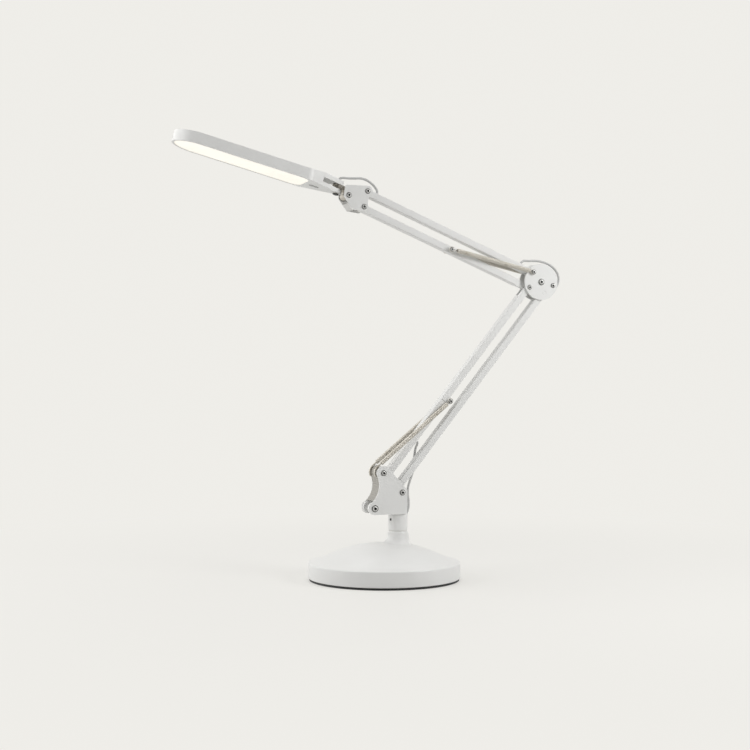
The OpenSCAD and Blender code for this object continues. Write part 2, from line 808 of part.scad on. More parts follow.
module upper_main_ends() {
    color(white) difference() {
        union() {
            along(elbow_upper, upper_angle) end_plug(eye_len);
            along(head_main, upper_angle + 180) end_plug(eye_len);
        }
        along(elbow_upper, upper_angle) for (s = [upper_lead_at, upper_exit_at])
            translate([s, 0, 0]) rotate([90, 0, 0]) cylinder(r = lead_wall_r, h = bar_w, $fn = 32);
    }
}

module upper_bar_grommets() {
    color(black) along(elbow_upper, upper_angle) for (s = [upper_lead_at, upper_exit_at])
        translate([s, 0, 0]) rotate([90, 0, 0]) wall_grommet(bar_w / 2);
}

module upper_link_bar() {
    color(white) along(elbow_main, upper_angle) difference() {
        tube(fork_len, upper_len - eye_len);
        translate([upper_pin_at, 0, -bar_d]) cylinder(r = spring_pin_d / 2, h = 2 * bar_d);
    }
}

module upper_link_ends() {
    color(white) {
        along(elbow_main, upper_angle) end_plug(fork_len, 0, tongue_t);
        along(head_link, upper_angle + 180) end_plug(eye_len);
    }
}

module upper_spring_pin() {
    color(steel) spring_pin(upper_pin, upper_eye_y + wire_d / 2 + 0.3);
}

// ---------------------------------------------------------------- springs

// A close-wound coil drawn as its rings, along z
module coil(length) {
    pitch = 2 * wire_d;
    turns = floor(length / pitch);
    rotate_extrude($fn = 32) difference() {
        polygon(concat(
            [[0, 0]],
            [for (i = [0 : turns - 1], k = [0 : 2])
                [spring_r - (k == 1 ? 0 : wire_d * 0.35), (i + k / 2.001) * length / turns]],
            [[0, length]]
        ));
    }
}

// A ring of wire round a pin that lies across the lamp
module eye(c, y) {
    in_plane() translate([c[0], c[1], y]) rotate_extrude($fn = 32)
        translate([spring_eye_r, 0]) circle(wire_d / 2, $fn = 16);
}

// A piece of wire between two points
module wire(a, b, r = wire_d / 2) {
    v = b - a;
    translate(a) rotate([0, acos(v[2] / norm(v)), atan2(v[1], v[0])]) cylinder(r = r, h = norm(v), $fn = 16);
}

function at(c, y) = [c[0], -y, c[1]];

lower_hook = 6;
lower_tail = 7;
module lower_spring(y) {
    u = unit(wrap_point - lower_pin);
    a = lower_pin + lower_hook * u;
    b = wrap_point - lower_tail * u;
    color(cream) {
        eye(lower_pin, y);
        wire(at(lower_pin + (spring_eye_r - 0.2) * u, y), at(a + 0.5 * u, y));
        translate(at(a, y)) rotate([0, 90 - angle_of(u), 0]) coil(norm(b - a));
        wire(at(b - 0.5 * u, y), at(wrap_point + 0.6 * u, y), spring_end_r + 0.12);
        in_plane() translate([lobe_top[0], lobe_top[1], y]) {
            rotate(wrap_start) rotate_extrude(angle = wrap_end - wrap_start, $fn = 64)
                translate([wrap_r, 0]) circle(spring_end_r, $fn = 20);
            rotate([0, 90, hook_angle]) translate([0, 0, lobe_top_r - sheet_t - 0.8])
                cylinder(r = web_hole_r - 0.1, h = wrap_r - lobe_top_r + sheet_t + 0.8, $fn = 20);
        }
    }
}

upper_hook = 7.5;
upper_tail = 6;
module upper_spring(y, eye_y) {
    u = unit(elbow_upper - upper_pin);
    a = upper_pin + upper_hook * u;
    b = elbow_upper - upper_tail * u;
    color(cream) {
        eye(upper_pin, eye_y);
        eye(elbow_upper, eye_y);
        wire(at(upper_pin + (spring_eye_r - 0.2) * u, eye_y), at(a + 0.5 * u, y));
        translate(at(a, y)) rotate([0, 90 - angle_of(u), 0]) coil(norm(b - a));
        wire(at(b - 0.5 * u, y), at(elbow_upper - (spring_eye_r - 0.2) * u, eye_y));
    }
}

module lower_spring_front() { lower_spring(lower_spring_y); }
module lower_spring_rear() { lower_spring(-lower_spring_y); }
module upper_spring_front() { upper_spring(upper_spring_y, upper_eye_y); }
module upper_spring_rear() { upper_spring(-upper_spring_y, -upper_eye_y); }

// ---------------------------------------------------------------- knuckle

waist_centre = fillet_centre(head_main, main_lobe_r, head_link, link_lobe_r, knuckle_fillet_r);

module knuckle_outline() {
    difference() {
        lobed([[knuckle_top, corner_lobe_r], [head_main, main_lobe_r], [head_link, link_lobe_r],
               [knuckle_low, corner_lobe_r], [knuckle_tilt, tilt_lobe_r]]);
        disc(waist_centre, knuckle_fillet_r);
    }
}

knuckle_web_share = 0.5;
module knuckle() {
    dir = angle_of(knuckle_tilt - knuckle_low);
    phi = acos((corner_lobe_r - tilt_lobe_r) / norm(knuckle_tilt - knuckle_low));
    p_low = knuckle_low + polar(corner_lobe_r, dir + phi);
    p_tilt = knuckle_tilt + polar(tilt_lobe_r, dir + phi);
    p_end = p_low + knuckle_web_share * (p_tilt - p_low);
    inward = unit(p_tilt - p_low);
    n_in = [inward[1], -inward[0]];
    color(white) difference() {
        union() {
            both_sides(knuckle_in, knuckle_depth / 2) knuckle_outline();
            slab(-knuckle_in - eps, knuckle_in + eps) {
                polygon([p_low, p_end, p_end + sheet_t * n_in, p_low + sheet_t * n_in]);
                arc_band(knuckle_low, corner_lobe_r - sheet_t, corner_lobe_r, dir + phi - 0.5, dir + phi + 80);
            }
        }
        for (c = [head_main, head_link, knuckle_tilt]) rod(c, pin_r, -40, 40);
    }
}

module knuckle_bolts() {
    color(steel) for (c = [head_main, head_link, knuckle_tilt])
        through_bolt(c, pin_r - 0.01, knuckle_depth / 2, head_r * 0.95, head_h * 0.9);
}

module knuckle_spacers() {
    color(nylon) for (c = [head_main, head_link])
        washer(c, 4, pin_r, bar_d / 2 + face_gap, knuckle_in);
}

module tilt_washers() {
    color(black) washer(knuckle_tilt, barrel_r, pin_r, knuckle_in - tilt_washer_t, knuckle_in);
}

// ---------------------------------------------------------------- head

// Works in the frame of the head
module in_head() {
    translate([swivel_at[0], 0, swivel_at[1]]) rotate([0, head_pitch, 0]) children();
}

// Draws a side view of the head between two widths
module head_side(from, to) {
    rotate([90, 0, 0]) translate([0, 0, from]) linear_extrude(to - from) children();
}

// A strip along x, centred, from one end to the other
module strip(from, to, half) {
    translate([from, -half]) square([to - from, 2 * half]);
}

// The body of the head from above, grown from its bottom to a height
module head_block(h) {
    y = head_half - shoulder_r;
    neck = [0, 0];
    shoulder = [shoulder_x, y];
    d = norm(neck - shoulder);
    tilt = angle_of(neck - shoulder) + acos((shoulder_r - head_end_r) / d);
    from = shoulder + polar(shoulder_r, tilt);
    to = neck + polar(head_end_r, tilt);
    linear_extrude(h) {
        disc([tip_x, 0], head_half);
        strip(tip_x, shoulder_x, head_half - 0.01);
    }
    for (side = [-1, 1]) translate([shoulder_x, side * y, 0]) cylinder(r = shoulder_r, h = h);
    linear_extrude(h) polygon([
        [shoulder_x - 3, from[1] - 2], from, to, [neck[0], 0],
        [to[0], -to[1]], [from[0], -from[1]], [shoulder_x - 3, 2 - from[1]]
    ]);
    translate([neck[0], 0, 0]) cylinder(r = head_end_r, h = h);
}

// Outline of the panel, grown by g
module panel_plan(g) {
    half = head_half - rim_w + g;
    r = panel_corner_r;
    end = panel_end_x + g;
    disc([tip_x, 0], half);
    strip(tip_x, end - r, half - 0.01);
    strip(tip_x, end, half - r);
    for (side = [-1, 1]) disc([end - r, side * (half - r)], r);
}

module button_plan(g) {
    r = button_w / 2 + g;
    for (s = [-1, 1]) translate([button_x + s * (button_l - button_w) / 2, 0]) circle(r, $fn = 32);
    translate([button_x, 0]) square([button_l - button_w, 2 * r], center = true);
}

pocket_top = top_z - shell_t;
ledge_z = -top_z + diffuser_recess + diffuser_t;
edge_chamfer = 1.2;
button_pocket_h = button_h - button_proud + button_travel + 0.2;
wire_way_r = 2.5;

module head_shell() {
    color(white) in_head() difference() {
        intersection() {
            translate([0, 0, -top_z]) head_block(neck_top + top_z);
            head_side(-head_w, head_w) polygon([
                [-head_len - 5, -top_z], [-head_len - 5, top_z], [-48, top_z], [-24, neck_top],
                [head_end_r + 9, neck_top], [head_end_r + 9, -top_z]
            ]);
        }
        translate([0, 0, -top_z - 1]) linear_extrude(pocket_top + top_z + 1) panel_plan(-1.2);
        translate([0, 0, -top_z - 1]) linear_extrude(ledge_z + top_z + 1) panel_plan(0);
        translate([-slot_len, -head_w, slot_z]) cube([slot_len + 40, 2 * head_w, slot_h]);
        translate([0, 0, -40]) cylinder(r = swivel_pin_r, h = 80);
        translate([0, 0, slot_z + slot_h - 1]) cylinder(r = wire_way_r + 1, h = 2);
        translate([0, 0, neck_top - 2]) cylinder(r = 3.4, h = 4);
        translate([0, 0, -top_z - 1]) linear_extrude(button_pocket_h + 1) button_plan(0.2);
        translate([panel_end_x - 4, -4, -1.5]) cube([-slot_len - panel_end_x + 5, 8, 4]);
    }
}

module diffuser() {
    color(warm_white) in_head()
        translate([0, 0, -top_z + diffuser_recess]) linear_extrude(diffuser_t) panel_plan(-0.15);
}

module light_guide() {
    color([0.95, 0.96, 0.95]) in_head()
        translate([0, 0, ledge_z]) linear_extrude(guide_t) panel_plan(-1.5);
}

module led_board() {
    color([0.93, 0.93, 0.92]) in_head()
        translate([0, 0, pocket_top - board_t]) linear_extrude(board_t) panel_plan(-2.2);
}

led_rows = 2;
led_count = 14;
module led_chips() {
    run = panel_end_x - panel_corner_r - tip_x;
    color([1.0, 0.85, 0.35]) in_head() for (i = [0 : led_count - 1], row = [-1, 1])
        translate([tip_x + run * i / (led_count - 1), row * (head_half - rim_w) * 0.45, pocket_top - board_t - 0.4])
            cube([3, 2.6, 0.8], center = true);
}

module swivel_pin() {
    color(nickel) in_head() difference() {
        union() {
            translate([0, 0, -top_z]) cylinder(r = swivel_pin_r - 0.01, h = neck_top - 2 + top_z);
            translate([0, 0, -top_z - 0.8]) cylinder(r = cap_r - 0.7, h = 0.8);
        }
        translate([0, 0, slot_z]) cylinder(r = 1.6, h = 40);
    }
}

module swivel_cap() {
    color(black) in_head() translate([0, 0, -top_z - cap_h - 0.8]) difference() {
        union() {
            translate([0, 0, 0.6]) cylinder(r = cap_r, h = cap_h - 0.6);
            cylinder(r1 = cap_r - 0.7, r2 = cap_r, h = 0.6);
        }
        translate([0, 0, -eps]) cylinder(r = 1.6, h = 0.8, $fn = 6);
    }
}

module head_gland() {
    color(black) in_head() difference() {
        union() {
            translate([0, 0, neck_top - 2]) cylinder(r = 3.38, h = 2);
            translate([0, 0, neck_top]) cylinder(r1 = 3.8, r2 = 3, h = 1.2);
        }
        translate([0, 0, neck_top - 5]) cylinder(r = lead_d / 2 + 0.1, h = 10);
    }
}

module push_button() {
    color(grey) in_head() translate([0, 0, -top_z - button_proud]) linear_extrude(button_h) button_plan(0);
}

module head_tongue() {
    reach = tilt_x;
    color(nickel) in_head() difference() {
        union() {
            translate([0, 0, tongue_z]) cylinder(r = tongue_r, h = tongue_h);
            head_side(-tongue_r, tongue_r) polygon([
                [0, tongue_z], [0, tongue_z + tongue_h], [reach - 4, tongue_z + tongue_h],
                [reach + barrel_r * cos(35), tilt_z + barrel_r * sin(35)],
                [reach, tilt_z], [head_end_r + 1.8, tilt_z + 1], [head_end_r + 1.8, tongue_z]
            ]);
            head_side(-barrel_half, barrel_half) disc([tilt_x, tilt_z], barrel_r);
        }
        translate([0, 0, -40]) cylinder(r = swivel_pin_r + run_fit, h = 80);
        head_side(-60, 60) disc([tilt_x, tilt_z], bore_r);
    }
}

// ---------------------------------------------------------------- leads
// Points chosen along each route. Each is measured from the piece that holds that part of the lead.

// From the centre of the post's top: x, y, z
function by_post(p) = [neck_x + p[0], p[1], post_top_z + p[2]];
// From a pivot of a bar: distance along the bar, distance to its left, depth towards the rear
function by_bar(a, angle, p) =
    let (q = a + polar(p[0], angle) + polar(p[1], angle + 90)) [q[0], p[2], q[1]];
// From the centre of the elbow discs: x, depth, z
function by_disc(p) = [disc_centre[0] + p[0], disc_out + p[1], disc_centre[1] + p[2]];
// From the upper pivot of the knuckle
function by_knuckle(p) = [head_main[0] + p[0], p[1], head_main[1] + p[2]];

lead_base_points = concat(
    [for (p = [[4.5, 7.2, -8], [7.45, 11.92, -8], [9, 14.1, -8.1], [12.2, 17.4, -8], [16.4, 19.2, -5.9],
               [19.7, 19.2, -0.8], [21.6, 18.4, 6.8], [21.4, 17.6, 15.5], [20.1, 16.8, 24], [20, 15.9, 32.4],
               [22, 14.8, 41], [24.4, 13.6, 49]]) by_post(p)],
    [for (p = [[42.3, -29.3, 12.2], [50.1, -23.6, 10.9], [58.3, -18.2, 9.3], [66, -13.6, 6.4], [70.5, -10.8, 2.8],
               [lower_lead_at - 0.2, -8.2, 0.4], [lower_lead_at, -5.2, 0], [lower_lead_at, -3.6, 0]])
        by_bar(pivot_main, lower_angle, p)]
);
lead_elbow_lower_points = concat(
    [for (p = [[lower_exit_at, 0, bar_d / 2 - 1.4], [lower_exit_at, 0, bar_d / 2 + 0.8],
               [lower_exit_at + 2, -0.4, bar_d / 2 + 4], [lower_exit_at + 9, -0.8, bar_d / 2 + 6.6],
               [lower_exit_at + 20, -1.2, bar_d / 2 + 7]])
        by_bar(pivot_main, lower_angle, p)],
    [for (p = [[-22, 4.1, -16], [-13, 4.1, -14], [-3, 4, -15.4], [6, 3.4, -17.4], [12.7, 2.6, -17]]) by_disc(p)]
);
lead_elbow_upper_points = concat(
    [for (p = [[12.82, 2.6, -16.96], [22, 2.4, -12.4], [32, 2.8, -6], [37, 3, 5], [33.5, 3, 16.5], [23, 3, 25.4],
               [9, 2.8, 29.8], [-6, 1.8, 28.9]]) by_disc(p)],
    [for (p = [[2.4, -14.4, 8.6], [8.6, -11.8, 5.6], [13.4, -9.8, 2.4], [upper_lead_at - 0.5, -7.6, 0.4],
               [upper_lead_at, -5.2, 0], [upper_lead_at, -3.6, 0]])
        by_bar(elbow_upper, upper_angle, p)]
);
lead_head_arm_points = concat(
    [for (p = [[upper_exit_at, -3.6, 0], [upper_exit_at, -5.2, 0], [upper_exit_at + 0.3, -8, 0]])
        by_bar(elbow_upper, upper_angle, p)],
    [for (p = [[16.2, 0, 4.8], [11.2, 0, 10.4], [4, 0, 15.4], [-4.5, 0, 17.9], [-12.7, 0, 17.6]]) by_knuckle(p)]
);
lead_head_neck_points =
    [for (p = [[-12.82, 0, 17.59], [-19.5, 0, 16.2], [-25.6, 0, 15.7], [-30.2, 0, 16.7], [-33.4, 0, 16.4],
               [-34.75, 0, 14.7], [-35.15, 0, 13.18]])
        by_knuckle(p)];
// Both pieces of a lead end square to the same line where they meet
elbow_joint = [16, -1, 5];
head_joint = [-15, 0, -1.7];

module lead_base() { color(grey) lead(lead_base_points); }
module lead_elbow_lower() { color(grey) lead(lead_elbow_lower_points, last = elbow_joint); }
module lead_elbow_upper() { color(grey) lead(lead_elbow_upper_points, first = elbow_joint); }
module lead_head_arm() { color(grey) lead(lead_head_arm_points, last = head_joint); }
module lead_head_neck() { color(grey) lead(lead_head_neck_points, first = head_joint); }

// ---------------------------------------------------------------- nodes

base_cover();
base_ballast();
bottom_plate();
foot_ring();
bottom_screws();
cord_gland();
neck_bush();
swivel_washer();
turret_post();
swivel_nut();
grub_screw();
base_bracket();
bracket_bolts();
bracket_pins();
bracket_spacers();
post_grommet();
lower_main_bar();
lower_main_ends();
lower_spring_saddle();
lower_spring_pin();
lower_bar_grommets();
lower_link_bar();
lower_link_ends();
elbow_disc_front();
elbow_disc_rear();
elbow_bolts();
elbow_pin();
elbow_spacers();
elbow_washers();
upper_main_bar();
upper_main_ends();
upper_bar_grommets();
upper_link_bar();
upper_link_ends();
upper_spring_pin();
knuckle();
knuckle_bolts();
knuckle_spacers();
head_tongue();
tilt_washers();
head_shell();
diffuser();
light_guide();
led_board();
led_chips();
swivel_pin();
swivel_cap();
head_gland();
push_button();
lower_spring_front();
lower_spring_rear();
upper_spring_front();
upper_spring_rear();
lead_base();
lead_elbow_lower();
lead_elbow_upper();
lead_head_arm();
lead_head_neck();
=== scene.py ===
import json
import math

import bpy
from mathutils import Matrix, Vector


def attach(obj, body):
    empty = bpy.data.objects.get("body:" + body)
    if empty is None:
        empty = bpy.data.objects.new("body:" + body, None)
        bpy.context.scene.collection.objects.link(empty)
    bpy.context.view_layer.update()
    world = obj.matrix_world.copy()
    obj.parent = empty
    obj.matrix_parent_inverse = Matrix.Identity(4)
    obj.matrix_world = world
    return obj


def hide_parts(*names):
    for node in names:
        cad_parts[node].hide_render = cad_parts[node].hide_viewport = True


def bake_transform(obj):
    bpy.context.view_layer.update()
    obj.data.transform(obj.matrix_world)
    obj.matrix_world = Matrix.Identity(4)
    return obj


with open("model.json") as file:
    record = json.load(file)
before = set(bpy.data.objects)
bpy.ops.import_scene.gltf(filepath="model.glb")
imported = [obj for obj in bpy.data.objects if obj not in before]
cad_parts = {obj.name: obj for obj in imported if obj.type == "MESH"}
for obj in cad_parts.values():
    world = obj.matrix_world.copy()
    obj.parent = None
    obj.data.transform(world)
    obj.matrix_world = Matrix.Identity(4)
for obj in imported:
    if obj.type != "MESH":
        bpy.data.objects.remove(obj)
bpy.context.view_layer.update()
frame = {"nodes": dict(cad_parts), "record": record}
cad = frame["nodes"]
record = frame["record"]
body_of_node = {node: body for body, nodes in record["behaviour"]["bodies"].items()
                for node in nodes}
slot_of_node = {part["node"]: part["material_slot"] for part in record["subparts"]}


# ---------------------------------------------------------------- places and sizes
# Millimetres and degrees. A point in the plane of the lamp is (x, z), and its depth is y.

MM = 0.001

# The base
BASE_R = 100.0
WALL_TOP = 24.0
DOME_RISE = 23.8
SHELL = 2.4
EDGE_R = 2.2
NECK_TOP = 63.4
POST_TOP = (19.2, 85.9)

# The bracket's three bolts, and the lower arm's main pivot
LOBE_TOP = (-6.0, 140.8)
LOBE_POST = (19.9, 114.9)
LOBE_BACK = (-18.1, 94.8)
PIVOT_MAIN = (-4.3, 128.4)

# The elbow's bolts
DISC_CENTRE = (223.293, 395.467)
DISC_TIE = (240.893, 390.867)
ELBOW_MAIN = (205.893, 387.967)
ELBOW_UPPER = (210.693, 408.567)

# The knuckle's bolts
HEAD_MAIN = (-27.322, 508.131)
HEAD_LINK = (-32.122, 487.531)
TILT = (-53.022, 501.831)

# The spring pins, and the angles of the arms
LOWER_PIN = (89.956, 234.150)
UPPER_PIN = (91.498, 435.819)
LOWER_ANGLE = 51.0
UPPER_ANGLE = 157.3

# Depths of the cheeks' inner and outer faces, and of the discs' outer ones
BRACKET_IN = 13.3
BRACKET_OUT = 15.5
KNUCKLE_IN = 11.3
KNUCKLE_OUT = 13.5
DISC_OUT = 9.5

# Screw heads: radius, height and radius of the hexagon socket
BIG_HEAD = (4.7, 2.0, 2.1)
BRACKET_HEAD = (4.0, 2.0, 1.8)
KNUCKLE_HEAD = (3.8, 1.8, 1.75)
ELBOW_HEAD = (3.5, 1.6, 1.6)
PIN_HEAD = (3.3, 1.6, 1.5)
SHAFT_IN_HEAD = 0.3
# Radii of the shafts, and the depth where a short screw begins in its cheek
CHEEK_SCREW_R = 1.98
BRACKET_BOLT_R = 2.48
BOLT_R = 2.49
SPRING_PIN_R = 1.99
CHEEK_SCREW_IN = 8.5
# Depths of the heads that keep the springs on their pins
LOWER_SPRING_OUT = 10.8
UPPER_SPRING_OUT = 12.6

# The springs
LOWER_SPRING_Y = 9.9
UPPER_SPRING_Y = 12.8
UPPER_EYE_Y = 11.7
WIRE = 1.2
COIL_R = 3.0 - WIRE / 2
COIL_PITCH = WIRE * 1.02
COIL_STEPS = 14
EYE_R = 3.25
EYE_GAP = 35
EYE_STEPS = 18
# How far the coil, and the bend in the wire before it, are from the spring's end
LOWER_HOOK, LOWER_HOOK_BEND = 6, 4.4
UPPER_HOOK, UPPER_HOOK_BEND = 7.5, 5
UPPER_TAIL, UPPER_TAIL_BEND = 6, 4.6
LOWER_TAIL = 7
# The point of the coil, counted from its end, that this wire runs into
COIL_JOIN = 3
# The lower springs' tails, out of the coil, round the bracket's lobe and into its web
TAIL_IN_COIL = 1.0
TAIL_R = 1.3
WRAP_R = 10.7
WRAP_END = 208.0
WRAP_STEPS = 16
WEB_ANGLE = WRAP_END - 12
WEB_DEPTH = 6.4
WEB_WIRE_R = 1.05
# Where a spring is cut, and how far to either side of there a spread reaches, as shares of its
# length from the held end
HALF_TURNED = 0.1
COIL_SPREAD = 0.5

# The lead
LEAD_R = 1.6
SMOOTH_STEPS = 6
# How many points at a run's far end lie within what holds it
GROMMET_HOLDS = 8
GLAND_HOLDS = 15

# How far the faces at an edge turn before it is kept sharp, on each kind of piece
CORNER = 32
TURNED_CORNER = 28
SWEPT_CORNER = 50
SCREW_CORNER = 35
# Faces across a rounded edge
EDGE_STEPS = 2


def polar(r, a):
    return Vector((r * math.cos(math.radians(a)), r * math.sin(math.radians(a))))


def in_lamp(p, y):
    """A point (x, z) of the lamp's plane at depth y, in metres."""
    return Vector((p[0], y, p[1])) * MM


# ---------------------------------------------------------------- shader expressions

class Socket:
    """A socket of a material, so that a pattern is written as an expression."""

    def __init__(self, tree, socket):
        self.tree, self.socket = tree, socket

    def node(self, kind, settings=(), values=(), out=0):
        """A new node, with its settings first, and then its sockets' values or links."""
        made = self.tree.nodes.new(kind)
        for key, value in dict(settings).items():
            setattr(made, key, value)
        for key, value in dict(values).items():
            if isinstance(value, Socket):
                self.tree.links.new(value.socket, made.inputs[key])
            else:
                made.inputs[key].default_value = value
        return Socket(self.tree, made.outputs[out])

    def math(self, operation, *values):
        return self.node("ShaderNodeMath", {"operation": operation}, dict(enumerate(values)))

    def __add__(self, other):
        return self.math("ADD", self, other)

    def __radd__(self, other):
        return self.math("ADD", other, self)

    def __sub__(self, other):
        return self.math("SUBTRACT", self, other)

    def __rsub__(self, other):
        return self.math("SUBTRACT", other, self)

    def __mul__(self, other):
        return self.math("MULTIPLY", self, other)

    def __rmul__(self, other):
        return self.math("MULTIPLY", other, self)

    def between(self, low, high):
        """0 below low, 1 above high, smooth between."""
        return self.node("ShaderNodeMapRange", {"interpolation_type": "SMOOTHSTEP"},
                         {"Value": self, "From Min": low, "From Max": high})

    def blend(self, first, second):
        """first where self is 0, second where it is 1, as colours."""
        return self.node("ShaderNodeMix", {"data_type": "RGBA"},
                         {0: self, 6: first, 7: second}, out=2)

    def noise(self, scale, detail, roughness=0.5, stretch=(1, 1, 1)):
        """Noise on the piece's own coordinates, with features of about 1 / scale metres."""
        place = self.node("ShaderNodeTexCoord", out=3)
        place = self.node("ShaderNodeMapping", {}, {"Vector": place, "Scale": stretch})
        return self.node("ShaderNodeTexNoise", {}, {"Vector": place, "Scale": scale,
                                                    "Detail": detail, "Roughness": roughness})

    def attribute(self, name):
        return self.node("ShaderNodeAttribute", {"attribute_name": name}, out=2)

    def bump(self, height, strength, distance):
        return self.node("ShaderNodeBump", {}, {"Height": height, "Strength": strength,
                                                "Distance": distance})


def rgba(r, g, b):
    return (r, g, b, 1.0)


def finish_of(name, draw, settings):
    """A material with plain settings, and what draw() returns for the rest of its sockets."""
    made = bpy.data.materials.new(name)
    made.use_nodes = True
    tree = made.node_tree
    shader = tree.nodes["Principled BSDF"]
    for key, value in settings.items():
        shader.inputs[key].default_value = value
    for key, value in draw(Socket(tree, shader.outputs[0])).items():
        tree.links.new(value.socket, shader.inputs[key])
    return made


def powder_coat(w):
    """White coat with a fine peel. Where the web mask is 1, a warm grey is painted in as painted
    shade between the cheeks.
    """
    peel = w.noise(900, 2.0) * 0.6 + w.noise(2400, 1.0) * 0.4
    haze = w.noise(14, 4.0).between(0.35, 0.7)
    white = haze.blend(rgba(0.785, 0.783, 0.765), rgba(0.815, 0.813, 0.797))
    web_shade_grey = haze.blend(rgba(0.310, 0.295, 0.260), rgba(0.335, 0.320, 0.285))
    return {"Base Color": w.attribute("web_shade").blend(white, web_shade_grey),
            "Roughness": 0.32 + haze * 0.07 + peel * 0.04,
            "Normal": w.bump(peel, 0.10, 0.00012)}


def plated_screw(w):
    """Satin plating, with painted shade in the socket and in the groove, where the face mask says
    so: nearly black and dull there.
    """
    grain = w.noise(700, 3.0, stretch=(1, 4, 1))
    wear = w.noise(240, 4.0).between(0.5, 0.8)
    recess_shade = w.attribute("recess_shade")
    plating = wear.blend(rgba(0.60, 0.60, 0.585), rgba(0.44, 0.44, 0.43))
    return {"Base Color": recess_shade.blend(plating, rgba(0.012, 0.012, 0.012)),
            "Roughness": 0.36 + grain * 0.14 + recess_shade * 0.3,
            "Metallic": 0.8 - recess_shade * 0.75,
            "Normal": w.bump(grain, 0.08, 0.0001)}


def zinc(w):
    grain = w.noise(420, 4.0, stretch=(1, 1, 5))
    return {"Base Color": grain.between(0.3, 0.7).blend(rgba(0.42, 0.42, 0.43),
                                                        rgba(0.56, 0.56, 0.57)),
            "Roughness": 0.3 + grain * 0.2,
            "Normal": w.bump(grain, 0.1, 0.0001)}


def nickel(w):
    grain = w.noise(520, 4.0)
    tint = w.noise(60, 3.0).between(0.35, 0.7)
    return {"Base Color": tint.blend(rgba(0.44, 0.41, 0.36), rgba(0.60, 0.57, 0.51)),
            "Roughness": 0.2 + grain * 0.14,
            "Normal": w.bump(grain, 0.08, 0.0001)}


def casting(w):
    grain = w.noise(260, 6.0, 0.65)
    return {"Base Color": grain.between(0.3, 0.7).blend(rgba(0.03, 0.03, 0.032),
                                                        rgba(0.08, 0.08, 0.082)),
            "Roughness": 0.6 + grain * 0.25,
            "Normal": w.bump(grain, 0.4, 0.0006)}


def spring_coat(w):
    """Cream lacquer, rubbed darker and more metallic in places."""
    shade = w.noise(300, 4.0)
    rub = w.noise(90, 3.0).between(0.5, 0.8)
    return {"Base Color": rub.blend(rgba(0.66, 0.630, 0.570), rgba(0.47, 0.435, 0.37)),
            "Roughness": 0.28 + shade * 0.2,
            "Metallic": 0.5 + rub * 0.3,
            "Normal": w.bump(shade, 0.05, 0.00008)}


def lead_sheath(w):
    fine = w.noise(800, 3.0)
    tint = w.noise(50, 3.0).between(0.3, 0.7)
    return {"Base Color": tint.blend(rgba(0.50, 0.50, 0.49), rgba(0.58, 0.58, 0.57)),
            "Roughness": 0.38 + fine * 0.14,
            "Normal": w.bump(fine, 0.1, 0.0001)}


def black_rubber(w):
    fine = w.noise(1100, 4.0)
    return {"Base Color": fine.between(0.3, 0.8).blend(rgba(0.012, 0.012, 0.012),
                                                       rgba(0.030, 0.030, 0.031)),
            "Roughness": 0.55 + fine * 0.25,
            "Normal": w.bump(fine, 0.25, 0.0001)}


def black_plastic(w):
    fine = w.noise(1400, 2.0)
    return {"Base Color": fine.between(0.3, 0.8).blend(rgba(0.010, 0.010, 0.010),
                                                       rgba(0.020, 0.020, 0.021)),
            "Roughness": 0.22 + fine * 0.12,
            "Normal": w.bump(fine, 0.06, 0.00008)}


def nylon(w):
    fine = w.noise(900, 3.0)
    return {"Base Color": fine.between(0.3, 0.8).blend(rgba(0.70, 0.69, 0.65),
                                                       rgba(0.78, 0.77, 0.73)),
            "Roughness": 0.4 + fine * 0.2,
            "Normal": w.bump(fine, 0.08, 0.0001)}


def grey_button(w):
    fine = w.noise(1500, 3.0)
    return {"Base Color": fine.between(0.3, 0.8).blend(rgba(0.50, 0.50, 0.49),
                                                       rgba(0.56, 0.56, 0.55)),
            "Roughness": 0.42 + fine * 0.12,
            "Normal": w.bump(fine, 0.1, 0.0001)}


def opal(w):
    """The lit panel, a little uneven as light guides are."""
    grain = w.noise(2600, 2.0)
    even = w.noise(22, 2.0).between(0.3, 0.7)
    return {"Base Color": even.blend(rgba(0.52, 0.50, 0.46), rgba(0.56, 0.54, 0.50)),
            "Emission Color": even.blend(rgba(0.97, 0.925, 0.82), rgba(1.0, 0.96, 0.865)),
            "Roughness": 0.40 + grain * 0.15,
            "Normal": w.bump(grain, 0.06, 0.00008)}


def acrylic(w):
    fine = w.noise(500, 2.0)
    return {"Base Color": fine.between(0.3, 0.7).blend(rgba(0.90, 0.93, 0.92),
                                                       rgba(0.94, 0.96, 0.95)),
            "Roughness": 0.08 + fine * 0.06,
            "Normal": w.bump(fine, 0.03, 0.00008)}


def board(w):
    fine = w.noise(1200, 3.0)
    return {"Base Color": fine.between(0.3, 0.7).blend(rgba(0.78, 0.78, 0.76),
                                                       rgba(0.84, 0.84, 0.82)),
            "Roughness": 0.35 + fine * 0.2,
            "Normal": w.bump(fine, 0.1, 0.0001)}


def phosphor(w):
    fine = w.noise(1800, 3.0)
    return {"Base Color": fine.between(0.3, 0.7).blend(rgba(0.83, 0.62, 0.10),
                                                       rgba(0.90, 0.70, 0.16)),
            "Roughness": 0.3 + fine * 0.2,
            "Normal": w.bump(fine, 0.1, 0.0001)}


